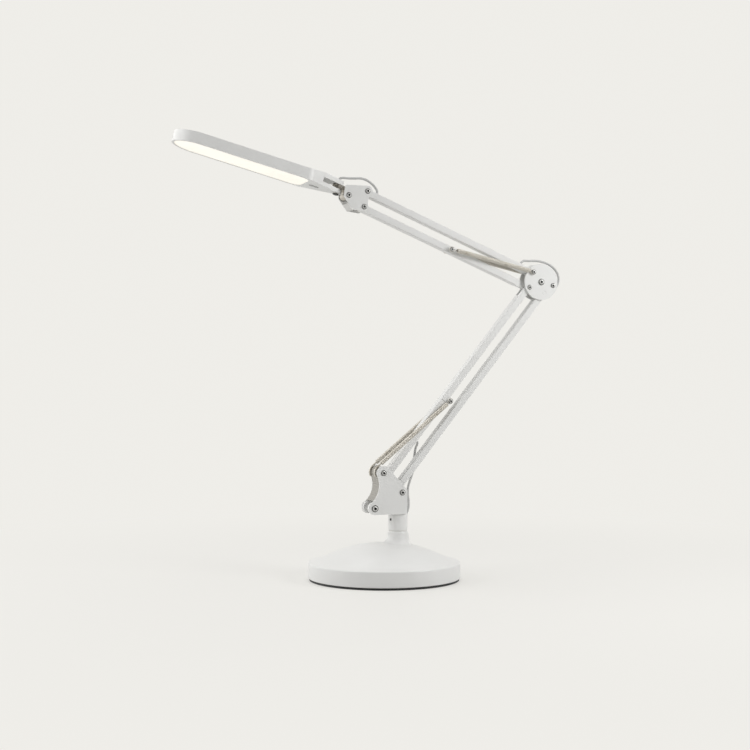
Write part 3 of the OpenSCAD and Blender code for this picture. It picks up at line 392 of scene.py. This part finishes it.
FINISHES = {name: finish_of(name, draw, settings) for name, draw, settings in (
    ("white_coat", powder_coat, {"Coat Weight": 0.15, "Coat Roughness": 0.3}),
    ("iron", casting, {"Metallic": 0.6}),
    ("plate_steel", zinc, {"Metallic": 1.0}),
    ("screw_steel", plated_screw, {}),
    ("satin_nickel", nickel, {"Metallic": 1.0}),
    ("black_rubber", black_rubber, {}),
    ("black_plastic", black_plastic, {}),
    ("white_nylon", nylon, {}),
    ("button_grey", grey_button, {}),
    ("diffuser_glow", opal, {"Emission Strength": 0.64}),
    ("clear_acrylic", acrylic, {}),
    ("board_white", board, {}),
    ("led_phosphor", phosphor, {}),
    ("spring_cream", spring_coat, {}),
    ("lead_grey", lead_sheath, {}),
)}


# ---------------------------------------------------------------- modelling

def only(obj):
    bpy.ops.object.select_all(action="DESELECT")
    obj.select_set(True)
    bpy.context.view_layer.objects.active = obj


def coat(obj, slot):
    obj.data.materials.clear()
    obj.data.materials.append(FINISHES[slot])
    for face in obj.data.polygons:
        face.material_index = 0


def settle(obj, name, slot, nodes_replaced, body=None):
    """Names a finished piece, puts its origin at the frame's, paints it and gives it its body."""
    only(obj)
    bpy.ops.object.transform_apply(location=True, rotation=True, scale=True)
    bpy.context.scene.cursor.location = (0, 0, 0)
    bpy.ops.object.origin_set(type="ORIGIN_CURSOR")
    obj.name = obj.data.name = name
    coat(obj, slot)
    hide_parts(*nodes_replaced)
    if body:
        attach(obj, body)
    return obj


def joined(objs):
    bpy.ops.object.select_all(action="DESELECT")
    for obj in objs:
        obj.select_set(True)
    bpy.context.view_layer.objects.active = objs[0]
    bpy.ops.object.join()
    return bpy.context.view_layer.objects.active


def flat_faces_first(obj):
    """Lets the large flat faces keep their own direction, so that only rounded edges turn."""
    only(obj)
    even = obj.modifiers.new("even", "WEIGHTED_NORMAL")
    even.mode = "FACE_AREA"
    even.weight = 100
    even.keep_sharp = True
    bpy.ops.object.modifier_apply(modifier="even")


def softened(node, edge):
    """A copy of a CAD node with merged triangles, rounded edges and curves shaded smooth."""
    obj = bpy.data.objects.new(node + "_finished", cad[node].data.copy())
    bpy.context.scene.collection.objects.link(obj)
    only(obj)
    bpy.ops.object.mode_set(mode="EDIT")
    bpy.ops.mesh.select_all(action="SELECT")
    bpy.ops.mesh.remove_doubles(threshold=0.000004)
    bpy.ops.mesh.dissolve_limited(angle_limit=math.radians(0.5))
    bpy.ops.object.mode_set(mode="OBJECT")
    if edge:
        rounding = obj.modifiers.new("rounding", "BEVEL")
        rounding.width = edge * MM
        rounding.segments = EDGE_STEPS
        rounding.limit_method = "ANGLE"
        rounding.angle_limit = math.radians(CORNER)
        rounding.use_clamp_overlap = True
        bpy.ops.object.modifier_apply(modifier="rounding")
    bpy.ops.object.shade_smooth_by_angle(angle=math.radians(CORNER))
    flat_faces_first(obj)
    return settle(obj, node + "_finished", slot_of_node[node], [node], body_of_node[node])


def marked(obj, attribute, value_of):
    """Gives each face a value that a finish reads."""
    mark = obj.data.attributes.new(attribute, "FLOAT", "FACE")
    for face in obj.data.polygons:
        mark.data[face.index].value = value_of(face)


def paint_web_shade(piece, inner, share):
    """Paints shade on the web, up to the inner face of each cheek: a warm grey, at the given
    share, stands in for the shade between the cheeks.
    """
    only(piece)
    for side in (-1, 1):
        bpy.ops.object.mode_set(mode="EDIT")
        bpy.ops.mesh.select_all(action="SELECT")
        bpy.ops.mesh.bisect(plane_co=(0, side * inner * MM, 0), plane_no=(0, 1, 0))
        bpy.ops.object.mode_set(mode="OBJECT")

    def on_web(face):
        """Between the cheeks, and not turned to one."""
        return abs(face.center.y) < inner * MM and abs(face.normal.y) < 0.4

    marked(piece, "web_shade", lambda face: share if on_web(face) else 0.0)


def turned(points, centre, name, steps, tilt=0.0):
    """A solid spun round a vertical line, from a profile of (radius, height) points."""
    mesh = bpy.data.meshes.new(name)
    mesh.from_pydata([(r * MM, 0, z * MM) for r, z in points],
                     [(i, i + 1) for i in range(len(points) - 1)], [])
    obj = bpy.data.objects.new(name, mesh)
    bpy.context.scene.collection.objects.link(obj)
    only(obj)
    bpy.ops.object.mode_set(mode="EDIT")
    bpy.ops.mesh.select_all(action="SELECT")
    bpy.ops.mesh.spin(steps=steps, angle=2 * math.pi, center=(0, 0, 0), axis=(0, 0, 1))
    bpy.ops.mesh.select_all(action="SELECT")
    bpy.ops.mesh.remove_doubles(threshold=0.00001)
    bpy.ops.mesh.normals_make_consistent(inside=False)
    bpy.ops.object.mode_set(mode="OBJECT")
    lean = Matrix.Rotation(math.radians(tilt), 4, "Y")
    obj.data.transform(Matrix.Translation(Vector((centre[0], 0, centre[1])) * MM) @ lean)
    bpy.ops.object.shade_smooth_by_angle(angle=math.radians(TURNED_CORNER))
    return obj


def swept(path, radius, roundness, name):
    """A round wire through points in metres."""
    curve = bpy.data.curves.new(name, "CURVE")
    curve.dimensions = "3D"
    curve.bevel_depth = radius * MM
    curve.bevel_resolution = roundness
    curve.use_fill_caps = True
    curve.twist_mode = "MINIMUM"
    spline = curve.splines.new("POLY")
    spline.points.add(len(path) - 1)
    for point, place in zip(spline.points, path):
        point.co = (*place, 1.0)
    obj = bpy.data.objects.new(name, curve)
    bpy.context.scene.collection.objects.link(obj)
    only(obj)
    bpy.ops.object.convert(target="MESH")
    obj = bpy.context.view_layer.objects.active
    bpy.ops.object.mode_set(mode="EDIT")
    bpy.ops.mesh.select_all(action="SELECT")
    bpy.ops.mesh.remove_doubles(threshold=0.000002)
    bpy.ops.mesh.normals_make_consistent(inside=False)
    bpy.ops.object.mode_set(mode="OBJECT")
    bpy.ops.object.shade_smooth_by_angle(angle=math.radians(SWEPT_CORNER))
    return obj


def smooth_points(points):
    """Points on a Catmull-Rom curve through the given ones."""
    p = [Vector(q) for q in points]
    made = []
    for i in range(len(p) - 1):
        a, b, c, d = p[max(i - 1, 0)], p[i], p[i + 1], p[min(i + 2, len(p) - 1)]
        for s in range(SMOOTH_STEPS):
            t = s / SMOOTH_STEPS
            made.append(0.5 * (2 * b + (c - a) * t + (2 * a - 5 * b + 4 * c - d) * t * t
                               + (3 * b - a - 3 * c + d) * t ** 3))
    made.append(p[-1])
    return made


# ---------------------------------------------------------------- screws

def screw_head(radius, height, socket):
    """A button head with a rim, a groove, a dome and a hexagon socket, at the origin and
    facing +Z."""
    r, h = radius, height
    obj = turned([(0, 0), (r, 0), (r, 0.16 * h), (0.98 * r, 0.26 * h), (0.93 * r, 0.26 * h),
                  (0.91 * r, 0.08 * h), (0.75 * r, 0.08 * h), (0.73 * r, 0.62 * h),
                  (0.69 * r, 0.80 * h), (0.61 * r, 0.92 * h), (0.52 * r, 0.98 * h),
                  (0.46 * r, h), (0, h)], (0, 0), "screw_head", steps=48)
    bpy.ops.object.select_all(action="DESELECT")
    bpy.ops.mesh.primitive_cylinder_add(vertices=6, radius=socket * MM, depth=h * MM,
                                        location=(0, 0, h * MM * 0.95))
    key = bpy.context.view_layer.objects.active
    only(obj)
    cut = obj.modifiers.new("socket", "BOOLEAN")
    cut.operation = "DIFFERENCE"
    cut.solver = "EXACT"
    cut.object = key
    bpy.ops.object.modifier_apply(modifier="socket")
    bpy.data.objects.remove(key)
    bpy.ops.object.shade_smooth_by_angle(angle=math.radians(SCREW_CORNER))

    # Painted shade: 1 in the hexagon socket, 0.95 in the groove, which the screw finish turns
    # nearly black
    def recess_shade(face):
        off = math.hypot(face.center.x, face.center.y) / MM
        if off < socket * 0.99 and face.center.z < 0.97 * h * MM:
            return 1.0
        in_groove = 0.73 * r < off < 0.94 * r and 0.02 * h * MM < face.center.z < 0.25 * h * MM
        return 0.95 if in_groove else 0.0

    marked(obj, "recess_shade", recess_shade)
    return obj


def copy_of(obj, matrix):
    made = bpy.data.objects.new(obj.name, obj.data.copy())
    bpy.context.scene.collection.objects.link(made)
    made.data.transform(matrix)
    return made


def shaft(centre, radius, low, high):
    """A round pin across the lamp between two depths."""
    bpy.ops.object.select_all(action="DESELECT")
    bpy.ops.mesh.primitive_cylinder_add(
        vertices=32, radius=radius * MM, depth=(high - low) * MM,
        location=in_lamp(centre, (low + high) / 2), rotation=(math.pi / 2, 0, 0))
    obj = bpy.context.view_layer.objects.active
    bpy.ops.object.transform_apply(location=True, rotation=True, scale=True)
    bpy.ops.object.shade_smooth_by_angle(angle=math.radians(SCREW_CORNER))
    return obj


# A screw is its centre, its head, the depth of its heads, the radius of its shaft, the turn of
# its hexagon, and the depth where it begins in each cheek, or None if it goes right through.
SCREWS = {
    "bracket_bolts": [(LOBE_TOP, BRACKET_HEAD, BRACKET_OUT, CHEEK_SCREW_R, 10, CHEEK_SCREW_IN),
                      (LOBE_POST, BRACKET_HEAD, BRACKET_OUT, CHEEK_SCREW_R, 35, CHEEK_SCREW_IN),
                      (LOBE_BACK, BIG_HEAD, BRACKET_OUT, BRACKET_BOLT_R, 22, None)],
    "elbow_bolts": [(DISC_CENTRE, BIG_HEAD, DISC_OUT, BOLT_R, 15, None),
                    (ELBOW_MAIN, ELBOW_HEAD, DISC_OUT, BOLT_R, 40, None),
                    (DISC_TIE, ELBOW_HEAD, DISC_OUT, BOLT_R, 5, None),
                    (ELBOW_UPPER, ELBOW_HEAD, UPPER_SPRING_OUT, BOLT_R, 28, None)],
    "knuckle_bolts": [(HEAD_MAIN, KNUCKLE_HEAD, KNUCKLE_OUT, BOLT_R, 12, None),
                      (HEAD_LINK, KNUCKLE_HEAD, KNUCKLE_OUT, BOLT_R, 33, None),
                      (TILT, KNUCKLE_HEAD, KNUCKLE_OUT, BOLT_R, 50, None)],
    "lower_spring_pin": [(LOWER_PIN, PIN_HEAD, LOWER_SPRING_OUT, SPRING_PIN_R, 0, None)],
    "upper_spring_pin": [(UPPER_PIN, PIN_HEAD, UPPER_SPRING_OUT, SPRING_PIN_R, 20, None)],
}


def screws():
    """Each head is modelled once, and copied to the front and to the rear of the lamp."""
    models = {}
    for node, items in SCREWS.items():
        parts = []
        for centre, head, y, radius, turn, begins in items:
            if head not in models:
                models[head] = screw_head(*head)
            for side in (-1, 1):
                place = Matrix.Translation(in_lamp(centre, side * y))
                outwards = Matrix.Rotation(math.radians(-90 * side), 4, "X")
                spin = Matrix.Rotation(math.radians(turn), 4, "Z")
                parts.append(copy_of(models[head], place @ (outwards @ spin)))
            end = y + SHAFT_IN_HEAD
            if begins is None:
                parts.append(shaft(centre, radius, -end, end))
            else:
                parts += [shaft(centre, radius, begins, end),
                          shaft(centre, radius, -end, -begins)]
        settle(joined(parts), node + "_finished", slot_of_node[node], [node], body_of_node[node])
    for head in models.values():
        bpy.data.objects.remove(head)


# ---------------------------------------------------------------- springs

def coil_points(a, b, y):
    """A close-wound helix along the line from a to b, which lie in the lamp's plane."""
    start, end = in_lamp(a, y), in_lamp(b, y)
    along = (end - start).normalized()
    side = Vector((0, 1, 0))
    up = along.cross(side)
    turns = max(1, round((end - start).length / (COIL_PITCH * MM)))
    n = turns * COIL_STEPS
    made = []
    for i in range(n + 1):
        angle = 2 * math.pi * i / COIL_STEPS
        made.append(start + (end - start) * (i / n)
                    + COIL_R * MM * (math.cos(angle) * up + math.sin(angle) * side))
    return made


def eye_points(centre, y, toward):
    """A hook of wire round a pin, open on the side that the spring leaves from."""
    first = math.degrees(math.atan2(toward[1], toward[0])) + EYE_GAP
    angles = [first + (360 - 2 * EYE_GAP) * i / EYE_STEPS for i in range(EYE_STEPS + 1)]
    return [in_lamp(Vector(centre) + polar(EYE_R, a), y) for a in angles]


def spring(name, coil, low, high, held_name, held_wires, moving_wire):
    """A spring of two pieces, cut across the coil: the part held at low, and the one that reaches
    to high."""
    run = high - low
    cut = next(i for i, place in enumerate(coil)
               if (place - low).dot(run) <= HALF_TURNED * run.length_squared)
    held = [(coil[cut:], WIRE / 2, 2)] + held_wires
    moving = [(coil[:cut + 1], WIRE / 2, 2), (moving_wire, WIRE / 2, 3)]
    for suffix, wires, spread in ((held_name, held, HALF_TURNED),
                                  ("_wire", moving, COIL_SPREAD)):
        parts = [swept(*wire, name) for wire in wires]
        obj = settle(joined(parts), name + suffix, "spring_cream", [name])
        start = low.lerp(high, HALF_TURNED - spread)
        end = low.lerp(high, HALF_TURNED + spread)
        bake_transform(obj)


def lower_spring(side, name):
    """From the saddle's pin to the bracket's lobe, which its tail goes round."""
    y = side * LOWER_SPRING_Y
    start, lobe = Vector(LOWER_PIN), Vector(LOBE_TOP)
    run = start - lobe
    touches = (math.degrees(math.atan2(run.y, run.x))
               + math.degrees(math.acos(WRAP_R / run.length)))
    touch = lobe + polar(WRAP_R, touches)
    u = (touch - start).normalized()
    coil_end = touch - LOWER_TAIL * u
    coil = coil_points(start + LOWER_HOOK * u, coil_end, y)
    hook = eye_points(LOWER_PIN, y, u)
    lead_in = smooth_points([hook[-1], in_lamp(start + LOWER_HOOK_BEND * u, y),
                             coil[COIL_JOIN]])
    tail = [in_lamp(coil_end - TAIL_IN_COIL * u, y)]
    tail += [in_lamp(lobe + polar(WRAP_R, touches + (WRAP_END - touches) * i / WRAP_STEPS), y)
             for i in range(WRAP_STEPS + 1)]
    into_web = [in_lamp(lobe + polar(r, WEB_ANGLE), y) for r in (WRAP_R, WEB_DEPTH)]
    spring(name, coil, in_lamp(touch, y), in_lamp(start, y),
           "_tail", [(tail, TAIL_R, 4), (into_web, WEB_WIRE_R, 4)], hook + lead_in)


def upper_spring(side, name):
    """From the second bar's pin to the elbow's upper bolt, with an eye round each."""
    y, y_eye = side * UPPER_SPRING_Y, side * UPPER_EYE_Y
    start, end = Vector(UPPER_PIN), Vector(ELBOW_UPPER)
    u = (end - start).normalized()
    coil = coil_points(start + UPPER_HOOK * u, end - UPPER_TAIL * u, y)
    first = eye_points(UPPER_PIN, y_eye, u)
    last = eye_points(ELBOW_UPPER, y_eye, -u)
    lead_in = smooth_points([first[-1], in_lamp(start + UPPER_HOOK_BEND * u, y_eye),
                             coil[COIL_JOIN]])
    lead_out = smooth_points([coil[-1 - COIL_JOIN], in_lamp(end - UPPER_TAIL_BEND * u, y_eye),
                              last[0]])
    spring(name, coil, in_lamp(end, y), in_lamp(start, y),
           "_hook", [(lead_out + last, WIRE / 2, 3)], first + lead_in)


# ---------------------------------------------------------------- leads

def by_post(*places):
    """Places from the top of the post, each as right, rear and up."""
    return [(POST_TOP[0] + x, y, POST_TOP[1] + z) for x, y, z in places]


def by_bar(origin, angle, *places):
    """Places on a bar, each as along it from its pivot, across it, and rear."""
    made = []
    for along, across, y in places:
        q = Vector(origin) + polar(along, angle) + polar(across, angle + 90)
        made.append((q.x, y, q.y))
    return made


def by_disc(*places):
    """Places from the middle of the rear disc's outer face, each as right, rear and up."""
    return [(DISC_CENTRE[0] + x, DISC_OUT + y, DISC_CENTRE[1] + z) for x, y, z in places]


def by_knuckle(*places):
    """Places from the knuckle's main bolt, each as right, rear and up."""
    return [(HEAD_MAIN[0] + x, y, HEAD_MAIN[1] + z) for x, y, z in places]


# A run is its route, the bodies at its start and end, and how many points its end holds.
LEAD_ROUTES = {
    "lead_base": (
        by_post((4.5, 7.2, -8), (7.45, 11.92, -8), (9, 14.1, -8.1), (12.2, 17.4, -8),
                (16.4, 19.2, -5.9), (19.7, 19.2, -0.8), (21.6, 18.4, 6.8), (21.4, 17.6, 15.5),
                (20.1, 16.8, 24), (20, 15.9, 32.4), (22, 14.8, 41), (24.4, 13.6, 49))
        + by_bar(PIVOT_MAIN, LOWER_ANGLE, (42.3, -29.3, 12.2), (50.1, -23.6, 10.9),
                 (58.3, -17.6, 9.5), (65.7, -12.4, 6.9), (70.3, -9.7, 3.0), (71.8, -7.6, 0.5),
                 (72, -5.2, 0), (72, -3.6, 0)),
        "turret", "lower_arm", GROMMET_HOLDS),
    "lead_elbow_lower": (
        by_bar(PIVOT_MAIN, LOWER_ANGLE, (292, 0, 5.1), (292, 0, 7.3), (294, -0.4, 10.5),
               (301, -0.8, 13.1), (312, -1.2, 13.5))
        + by_disc((-22, 4.1, -16), (-13, 4.1, -14), (-3, 4, -15.4), (6, 3.4, -17.4),
                  (12.7, 2.6, -17)),
        "lower_arm", "elbow", GROMMET_HOLDS),
    "lead_elbow_upper": (
        by_disc((12.82, 2.6, -16.96), (22, 2.4, -12.4), (32, 2.8, -6), (37, 3, 5),
                (33.5, 3, 16.5), (23, 3, 25.4), (9, 2.8, 29.8), (-4, 1.6, 30.2))
        + by_bar(ELBOW_UPPER, UPPER_ANGLE, (4, -16.2, 7.4), (9.6, -13.8, 4.6),
                 (13.8, -11.4, 2.2), (16.4, -8.6, 0.5), (17, -5.4, 0), (17, -3.6, 0)),
        "elbow", "upper_arm", GROMMET_HOLDS),
    "lead_head_arm": (
        by_bar(ELBOW_UPPER, UPPER_ANGLE, (242, -3.6, 0), (242, -5.2, 0), (242.3, -8, 0))
        + by_knuckle((16.2, 0, 4.8), (11.2, 0, 10.4), (4, 0, 15.4), (-4.5, 0, 17.9),
                     (-12.7, 0, 17.6)),
        "upper_arm", "knuckle", GROMMET_HOLDS),
    "lead_head_neck": (
        by_knuckle((-12.82, 0, 17.59), (-19.5, 0, 17.4), (-25.6, 0, 17.5), (-30.2, 0, 17.6),
                   (-33.2, 0, 16.8), (-34.7, 0, 15.1), (-35.15, 0, 13.18)),
        "knuckle", "neck", GLAND_HOLDS),
}


def leads():
    for name, (points, first, second, held) in LEAD_ROUTES.items():
        path = [p * MM for p in smooth_points(points)]
        obj = settle(swept(path, LEAD_R, 5, name), name + "_sheath", "lead_grey", [name])
        start, end = path[SMOOTH_STEPS], path[-held]
        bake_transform(obj)


# ---------------------------------------------------------------- base

def dome_height(r):
    return WALL_TOP + DOME_RISE * (1 - (r / BASE_R) ** 2.6) ** 1.7


def base():
    """The cover: a shell with a soft edge where the wall turns into the dome, a flare that leans
    with the dome round the post, and the collar on it."""
    outside = [(r, dome_height(r)) for r in range(0, 97, 2)]
    edge = [(BASE_R - EDGE_R + EDGE_R * math.sin(math.radians(a)),
             WALL_TOP - EDGE_R + EDGE_R * math.cos(math.radians(a))) for a in range(8, 91, 10)]
    wall = [(BASE_R, 14), (BASE_R, 3.8), (99.6, 3.2), (99.0, 3.0), (97.8, 3.0), (97.6, 3.4)]
    inside = [(BASE_R - SHELL, 14), (BASE_R - SHELL, 21.0)]
    inside += [(r, dome_height(r) - SHELL) for r in [*range(95, 0, -4), 0]]
    cover = turned(outside + edge + wall + inside, (0, 0), "base_cover_shell", steps=160)

    post_x = POST_TOP[0]
    foot, fillet = 14.9, 9.0
    reach = foot + fillet
    high, low = dome_height(abs(post_x - reach)), dome_height(post_x + reach)
    lean = math.degrees(math.atan2(high - low, 2 * reach))
    flare_z = (high + low) / 2 - 0.3 + fillet
    profile = [(0, -fillet - 1.6), (reach, -fillet - 1.6)]
    profile += [(reach + fillet * math.cos(math.radians(a)), fillet * math.sin(math.radians(a)))
                for a in range(270, 179, -6)]
    profile += [(foot - 0.25, 0.8), (0, 0.8)]
    flare = turned(profile, (post_x, flare_z), "flare", steps=96, tilt=lean)

    top = NECK_TOP
    collar = turned([(0, flare_z - 3), (14.65, flare_z - 3), (14.65, flare_z),
                     (13.95, top - 3.6), (13.55, top - 3.35), (13.45, top - 3.2),
                     (13.55, top - 3.05), (13.95, top - 2.8), (12.75, top - 0.6),
                     (12.55, top - 0.2), (12.15, top), (0, top)],
                    (post_x, 0), "collar", steps=96)
    settle(joined([cover, flare, collar]), "base_cover_finished", "white_coat", ["base_cover"],
           "base")


# ---------------------------------------------------------------- the whole lamp

# Pieces with rounded edges, and the radius of those
ROUNDED = {
    "turret_post": 0.25, "base_bracket": 0.45, "bracket_spacers": 0.2, "elbow_disc_front": 0.5,
    "elbow_disc_rear": 0.5, "knuckle": 0.45, "head_tongue": 0.4, "head_shell": 0.6,
    "swivel_cap": 0.3, "push_button": 0.4, "lower_main_ends": 0.3, "lower_link_ends": 0.3,
    "upper_main_ends": 0.3, "upper_link_ends": 0.3, "lower_spring_saddle": 0.25,
    "foot_ring": 0.4, "diffuser": 0.25,
}
# Pieces whose curves are only shaded smooth
SHADED = (
    "lower_main_bar", "lower_link_bar", "upper_main_bar", "upper_link_bar", "bracket_pins",
    "elbow_pin", "neck_bush", "swivel_washer", "knuckle_spacers", "elbow_washers",
    "elbow_spacers", "tilt_washers", "post_grommet", "lower_bar_grommets", "upper_bar_grommets",
    "head_gland", "cord_gland", "swivel_pin", "grub_screw",
)


def lamp():
    for node in cad:
        for place in cad[node].material_slots:
            place.material = FINISHES[slot_of_node[node]]
    base()
    pieces = {node: softened(node, edge) for node, edge in ROUNDED.items()}
    pieces.update({node: softened(node, 0) for node in SHADED})
    # Painted shade on the bracket's web, and a lighter share of it on the knuckle's web
    paint_web_shade(pieces["base_bracket"], BRACKET_IN, 1.0)
    paint_web_shade(pieces["knuckle"], KNUCKLE_IN, 0.35)
    # The grub screw, sunk in its hole in the post, gets the painted recess shade all over
    marked(pieces["grub_screw"], "recess_shade", lambda face: 0.9)
    screws()
    lower_spring(-1, "lower_spring_front")
    lower_spring(1, "lower_spring_rear")
    upper_spring(-1, "upper_spring_front")
    upper_spring(1, "upper_spring_rear")
    leads()


# ---------------------------------------------------------------- camera, lights and floor
# In metres.

BACKDROP = (0.862, 0.850, 0.812)
DARKER_SIDE = (-0.33, -0.94, 0.0)
FLOOR_HALF = 6


def camera():
    data = bpy.data.cameras.new("camera")
    data.lens = 67.2
    data.sensor_width = 36.0
    obj = bpy.data.objects.new("camera", data)
    obj.location = (-0.6113, -1.7381, 0.2688)
    obj.rotation_euler = (math.radians(90), 0, math.radians(-19))
    bpy.context.scene.collection.objects.link(obj)
    bpy.context.scene.camera = obj


def soft_light(name, place, target, size, power):
    data = bpy.data.lights.new(name, "AREA")
    data.shape = "RECTANGLE"
    data.size, data.size_y = size
    data.energy = power
    obj = bpy.data.objects.new(name, data)
    obj.location = place
    obj.rotation_euler = (Vector(target) - Vector(place)).to_track_quat("-Z", "Y").to_euler()
    bpy.context.scene.collection.objects.link(obj)


def ray_kinds(w):
    """1 or 0 each: rays from the camera, and reflected or refracted ones."""
    rays = w.node("ShaderNodeLightPath").socket.node.outputs
    seen, glossy, clear = (Socket(w.tree, rays["Is %s Ray" % kind])
                           for kind in ("Camera", "Glossy", "Transmission"))
    return seen, w.math("MAXIMUM", glossy, clear)


def room():
    """The camera sees the backdrop, gloss sees it with one dark side, and the light is grey."""
    world = bpy.context.scene.world or bpy.data.worlds.new("world")
    bpy.context.scene.world = world
    world.use_nodes = True
    tree = world.node_tree
    w = Socket(tree, tree.nodes["Background"].outputs[0])
    side = w.node("ShaderNodeVectorMath", {"operation": "DOT_PRODUCT"},
                  {0: w.node("ShaderNodeTexCoord"), 1: DARKER_SIDE}, out=1).between(0.35, 0.95)
    seen, mirrored = ray_kinds(w)
    light = side.blend(rgba(0.44, 0.44, 0.44), rgba(0.30, 0.30, 0.30))
    in_gloss = side.blend(rgba(*BACKDROP), rgba(0.16, 0.155, 0.15))
    colour = seen.blend(mirrored.blend(light, in_gloss), rgba(*BACKDROP))
    tree.links.new(colour.socket, tree.nodes["Background"].inputs["Color"])


def paper_floor():
    """A wide sheet that takes the lamp's shadow and fades into the backdrop."""
    bpy.ops.object.select_all(action="DESELECT")
    bpy.ops.mesh.primitive_plane_add(size=2, location=(0, 0, 0))
    floor = bpy.context.view_layer.objects.active
    bpy.ops.object.mode_set(mode="EDIT")
    bpy.ops.mesh.select_all(action="SELECT")
    bpy.ops.transform.resize(value=(FLOOR_HALF, FLOOR_HALF, 1))
    bpy.ops.object.mode_set(mode="OBJECT")
    floor.name = "floor"
    paper = bpy.data.materials.new("paper")
    paper.use_nodes = True
    tree = paper.node_tree
    shader = tree.nodes["Principled BSDF"]
    shader.inputs["Roughness"].default_value = 0.5
    w = Socket(tree, shader.outputs[0])
    shown = w.math("MAXIMUM", *ray_kinds(w))
    colour = shown.blend(rgba(0.55, 0.55, 0.54), rgba(0.84, 0.83, 0.80))
    tree.links.new(colour.socket, shader.inputs["Base Color"])
    away = w.node("ShaderNodeVectorMath", {"operation": "LENGTH"},
                  {0: w.node("ShaderNodeTexCoord", out=3)}, out=1)
    glow = w.node("ShaderNodeEmission", {}, {"Color": rgba(*BACKDROP), "Strength": 1.0})
    faded = shown * (0.5 + away.between(0.15, 0.9) * 0.5)
    surface = w.node("ShaderNodeMixShader", {}, {0: faded, 1: w, 2: glow})
    tree.links.new(surface.socket, tree.nodes["Material Output"].inputs["Surface"])
    floor.data.materials.append(paper)


def studio():
    soft_light("key", (0.95, -0.95, 0.75), (0.1, 0, 0.3), (0.6, 0.6), 9.0)
    soft_light("side", (-1.7, -0.1, 0.8), (0, 0, 0.3), (1.2, 1.4), 12.0)
    soft_light("rim", (-1.4, 1.2, 0.8), (0, 0, 0.3), (1.6, 1.6), 8.0)
    soft_light("top", (0.0, 0.3, 1.8), (0, 0, 0.2), (1.3, 1.3), 7.2)
    room()
    paper_floor()


camera()
studio()
lamp()
bpy.context.scene.view_settings.view_transform = "Standard"
